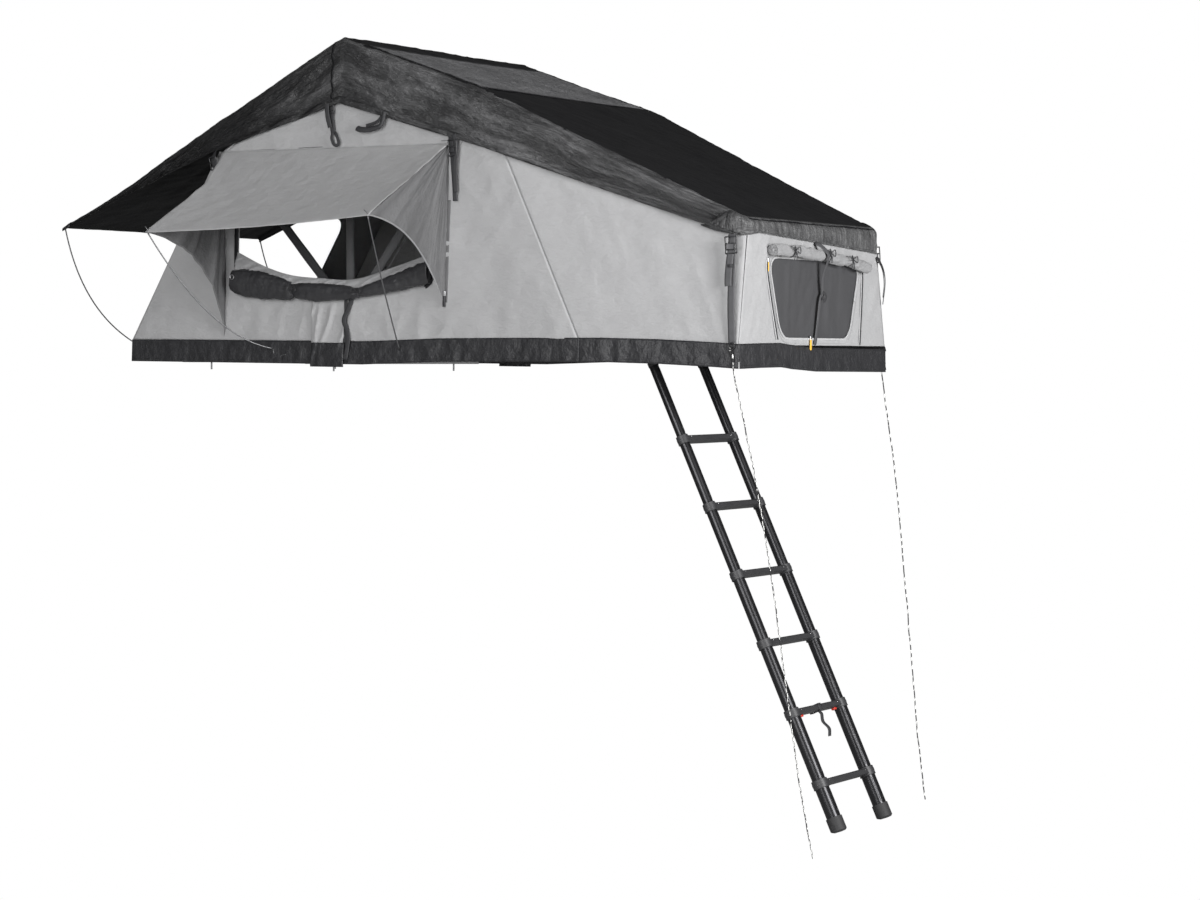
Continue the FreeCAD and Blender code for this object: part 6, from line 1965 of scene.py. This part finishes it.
def rope_piece(name, body, node, route, bend_seed):
    points, length = spline_points(route, 420)
    t = np.linspace(0, 1, 420)
    kink = np.zeros_like(points)
    inside = np.stack([t * 26, np.full(420, bend_seed * 1.7), np.zeros(420)], axis=1)
    ease = np.clip(np.minimum(t, 1 - t) / 0.05, 0, 1)
    kink[:, 0] = 0.0022 * noise(inside) * ease
    kink[:, 1] = 0.0022 * noise(inside + 5) * ease
    piece = tube_object(name, points + kink, ROPE_RADIUS, braid, sides=10)
    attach(piece, body)
    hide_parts(node)
    down = np.array(route[-1]) - np.array(route[0])
    down /= np.linalg.norm(down)
    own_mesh(piece)
    print(name, "runs", round(length, 3), "m")
    return piece


rope_piece("guy_rope_near_braid", "rope_near", "guy_rope_near", ROPE_NEAR, 1)
rope_piece("guy_rope_far_braid", "rope_far", "guy_rope_far", ROPE_FAR, 2)

# %% [markdown]
# ## Ladder details
#
# The CAD ladder has the right tubes, collars and steps. Close up, each collar also has a small
# knob outside and a lip under it, each tube a shallow groove and a locating dimple, and the last
# step but one carries a hook-and-loop strap.

# %% Place things on the leaning ladder
LADDER_LEAN = math.radians(25.8)
FIRST_STEP = 0.367
STEP_PITCH = 0.305
LADDER_PIVOT = np.array([1.8335, 0, 0.035])
DOWN = np.array([math.sin(LADDER_LEAN), 0, -math.cos(LADDER_LEAN)])
FRONT = np.array([math.cos(LADDER_LEAN), 0, math.sin(LADDER_LEAN)])
HALF_LADDER = 0.202


def on_ladder(depth, y, front=0.0):
    return LADDER_PIVOT + DOWN * depth + np.array([0, y, 0]) + FRONT * front


def disc(name, centre, axis, radius, height, material, sides=20):
    centre, axis = np.array(centre), np.array(axis, float)
    axis /= np.linalg.norm(axis)
    line = np.array([centre, centre + axis * height * 0.7, centre + axis * height])
    return tube_object(name, line, [radius, radius, radius * 0.75], material, sides=sides)


def tube_size(section):
    return 0.020 + (section - 1) * 0.0016


for section in range(1, 8):
    depth = FIRST_STEP + (section - 2) * STEP_PITCH
    size = tube_size(section)
    parts = []
    for s in (-1, 1):
        y = s * HALF_LADDER
        if section > 1:
            out = size + 0.0042
            parts.append(disc("knob", on_ladder(depth + 0.002, y + s * (out - 0.003)), (0, s, 0), 0.0062, 0.006,
                              step_plastic))
            lip = [on_ladder(depth + 0.0175, y + (size + 0.0036) * math.cos(a), (size + 0.0036) * math.sin(a))
                   for a in np.linspace(0, 2 * math.pi, 37)]
            parts.append(tube_object("lip", lip, 0.0016, step_plastic, sides=8, caps=False))
            for k in (-1, 1):
                parts.append(disc("screw", on_ladder(depth - 0.006, y - s * (size + 0.016), k * 0.0175 + 0.004),
                                  FRONT, 0.0028, 0.002, bright_steel, 12))
        top = 0.045 if section == 1 else depth + 0.030
        low = 2.030 if section == 7 else depth + STEP_PITCH - 0.030
        if section == 1:
            low = FIRST_STEP - 0.030
        # The groove is a thin raised ridge of dark rubber finish on the tube, painted shade standing for the
        # recess.
        groove = np.array([on_ladder(d, y - s * size * 0.64, size * 0.772) for d in np.linspace(top, low, 20)])
        parts.append(tube_object("groove", groove, 0.0011, rubber, sides=6))
        # The dimple is a dark rubber disc, painted shade standing for the hollow.
        dimple = on_ladder(low - 0.018, y, size - 0.0006)
        parts.append(disc("dimple", dimple, FRONT, 0.0045, 0.0014, rubber, 14))
    body_name = f"ladder_{section}"
    detail = join(f"ladder_detail_{section}", parts)
    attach(detail, body_name)

# %% [markdown]
# ### Carrying strap
#
# A webbing loop wraps the last step but one and leaves a loose tail.

# %% The strap on the last step but one
step_depth = FIRST_STEP + 4 * STEP_PITCH
half_step = 0.0248
loop_path = []
for front, down_by in ((-half_step, -0.012), (-half_step, -0.0152), (half_step, -0.0152), (half_step, 0.0152),
                       (-half_step, 0.0152), (-half_step, -0.010)):
    loop_path.append(on_ladder(step_depth + down_by, -0.006, front))


def ribbon(points, width, material, thick=0.0018):
    """A strap whose width lies along Y."""
    points = np.array(points)
    grid = np.stack([points + np.array([0, width * s, 0]) for s in (-0.5, -0.17, 0.17, 0.5)], axis=1)
    return sheet_object("ribbon", grid, material, thick=thick, offset=0.0)


tail_path = smooth_path([on_ladder(step_depth + 0.014, -0.004, 0.010),
                         on_ladder(step_depth + 0.030, -0.002, 0.016),
                         on_ladder(step_depth + 0.060, 0.004, 0.006),
                         on_ladder(step_depth + 0.095, 0.012, 0.016),
                         on_ladder(step_depth + 0.125, 0.014, 0.004)], 40)
ladder_strap = join("ladder_strap_webbing", [ribbon(loop_path, 0.026, webbing), ribbon(tail_path, 0.024, webbing)])
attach(ladder_strap, "ladder_6")
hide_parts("ladder_strap")

# %% [markdown]
# ## Sizes of the cloth
#
# Each sheet's area is summed from its faces and printed with the width of cloth it is cut from.


hoops = ["rear_hoop", "centre_hoop", "front_hoop", "end_hoop"]
round(grid_area(fly_grid) * 1.01, 3)
CUTS = [
    # piece, width of the cut, how it is held, what it hangs from
    (near_wall, 2.40, "stretched", hoops[:3]), (far_wall, 2.40, "stretched", hoops[:3]),
    (rear_cloth, 1.40, "stretched", hoops[:1]), (end_cloth, 1.26, "stretched", hoops[3:]),
    (porch_cloth, 1.70, "stretched", hoops[2:]), (roof_cloth, 1.40, "stretched", hoops),
    (porch_hem, 2.70, "hung", ["outer_frame"]), (inner_band, 3.80, "hung", ["inner_frame"]),
    (outer_band, 2.40, "hung", ["outer_frame"]), (awning_near, 1.22, "stretched", ["awning_rods_near_steel"]),
    (awning_far, 1.22, "stretched", ["awning_rods_far_steel"]),
    (end_screen, 0.85, "stretched", ["end_wall_cloth"]),
    (flaps, 0.30, "hung", ["side_wall_near_cloth"]),
]
for piece, width, held, rests in CUTS:
    area = sum(p.area for p in piece.data.polygons) / 2
    round(area / width / 0.80, 3)
    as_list(rests)
    print(piece.name, "is cut from", width, "m wide cloth,", round(area, 3), "m2")

# %% [markdown]
# ## Studio
#
# The photograph is cut out on white. The floor and the background look white to the camera
# only; the world is dim for everything else, so folds and undersides stay dark. A broad lamp
# lights the long side from its own height, and a second one lights the porch end.

# %% Light, floor and background
GROUND_Z = -1.857
world = bpy.data.worlds.new("studio")
scene.world = world
world.use_nodes = True
tree = world.node_tree
background = tree.nodes["Background"]
background.inputs["Color"].default_value = (1, 1, 1, 1)
path_node = tree.nodes.new("ShaderNodeLightPath")
level = tree.nodes.new("ShaderNodeMapRange")
level.inputs["To Min"].default_value = 0.10
level.inputs["To Max"].default_value = 1.0
tree.links.new(path_node.outputs["Is Camera Ray"], level.inputs["Value"])
tree.links.new(level.outputs["Result"], background.inputs["Strength"])

floor_mesh = bpy.data.meshes.new("studio_floor")
reach = 40.0
floor_mesh.from_pydata([(-reach, -reach, GROUND_Z), (reach, -reach, GROUND_Z), (reach, reach, GROUND_Z),
                        (-reach, reach, GROUND_Z)], [], [(0, 1, 2, 3)])
floor = bpy.data.objects.new("studio_floor", floor_mesh)
scene.collection.objects.link(floor)
ground = bpy.data.materials.new("studio_floor")
ground.use_nodes = True
nodes_of = ground.node_tree
white = nodes_of.nodes.new("ShaderNodeEmission")
white.inputs["Strength"].default_value = 1.0
matt = nodes_of.nodes.new("ShaderNodeBsdfDiffuse")
matt.inputs["Color"].default_value = (0.55, 0.55, 0.55, 1)
pick = nodes_of.nodes.new("ShaderNodeMixShader")
seen = nodes_of.nodes.new("ShaderNodeLightPath")
nodes_of.links.new(seen.outputs["Is Camera Ray"], pick.inputs["Fac"])
nodes_of.links.new(matt.outputs["BSDF"], pick.inputs[1])
nodes_of.links.new(white.outputs["Emission"], pick.inputs[2])
nodes_of.links.new(pick.outputs["Shader"], nodes_of.nodes["Material Output"].inputs["Surface"])
floor_mesh.materials.append(ground)


def area_lamp(name, place, target, power, size):
    lamp = bpy.data.lights.new(name, "AREA")
    lamp.energy = power
    lamp.size = size
    holder = bpy.data.objects.new(name, lamp)
    holder.location = place
    holder.rotation_euler = (Vector(target) - Vector(place)).to_track_quat("-Z", "Y").to_euler()
    scene.collection.objects.link(holder)
    return holder


key = area_lamp("key", (2.6, -9.0, 2.0), (0.9, -0.7, 0.3), 560, 4.5)
fill = area_lamp("fill", (10.0, -2.5, 1.2), (2.3, 0, 0.2), 980, 3.5)
scene.view_settings.view_transform = "Standard"
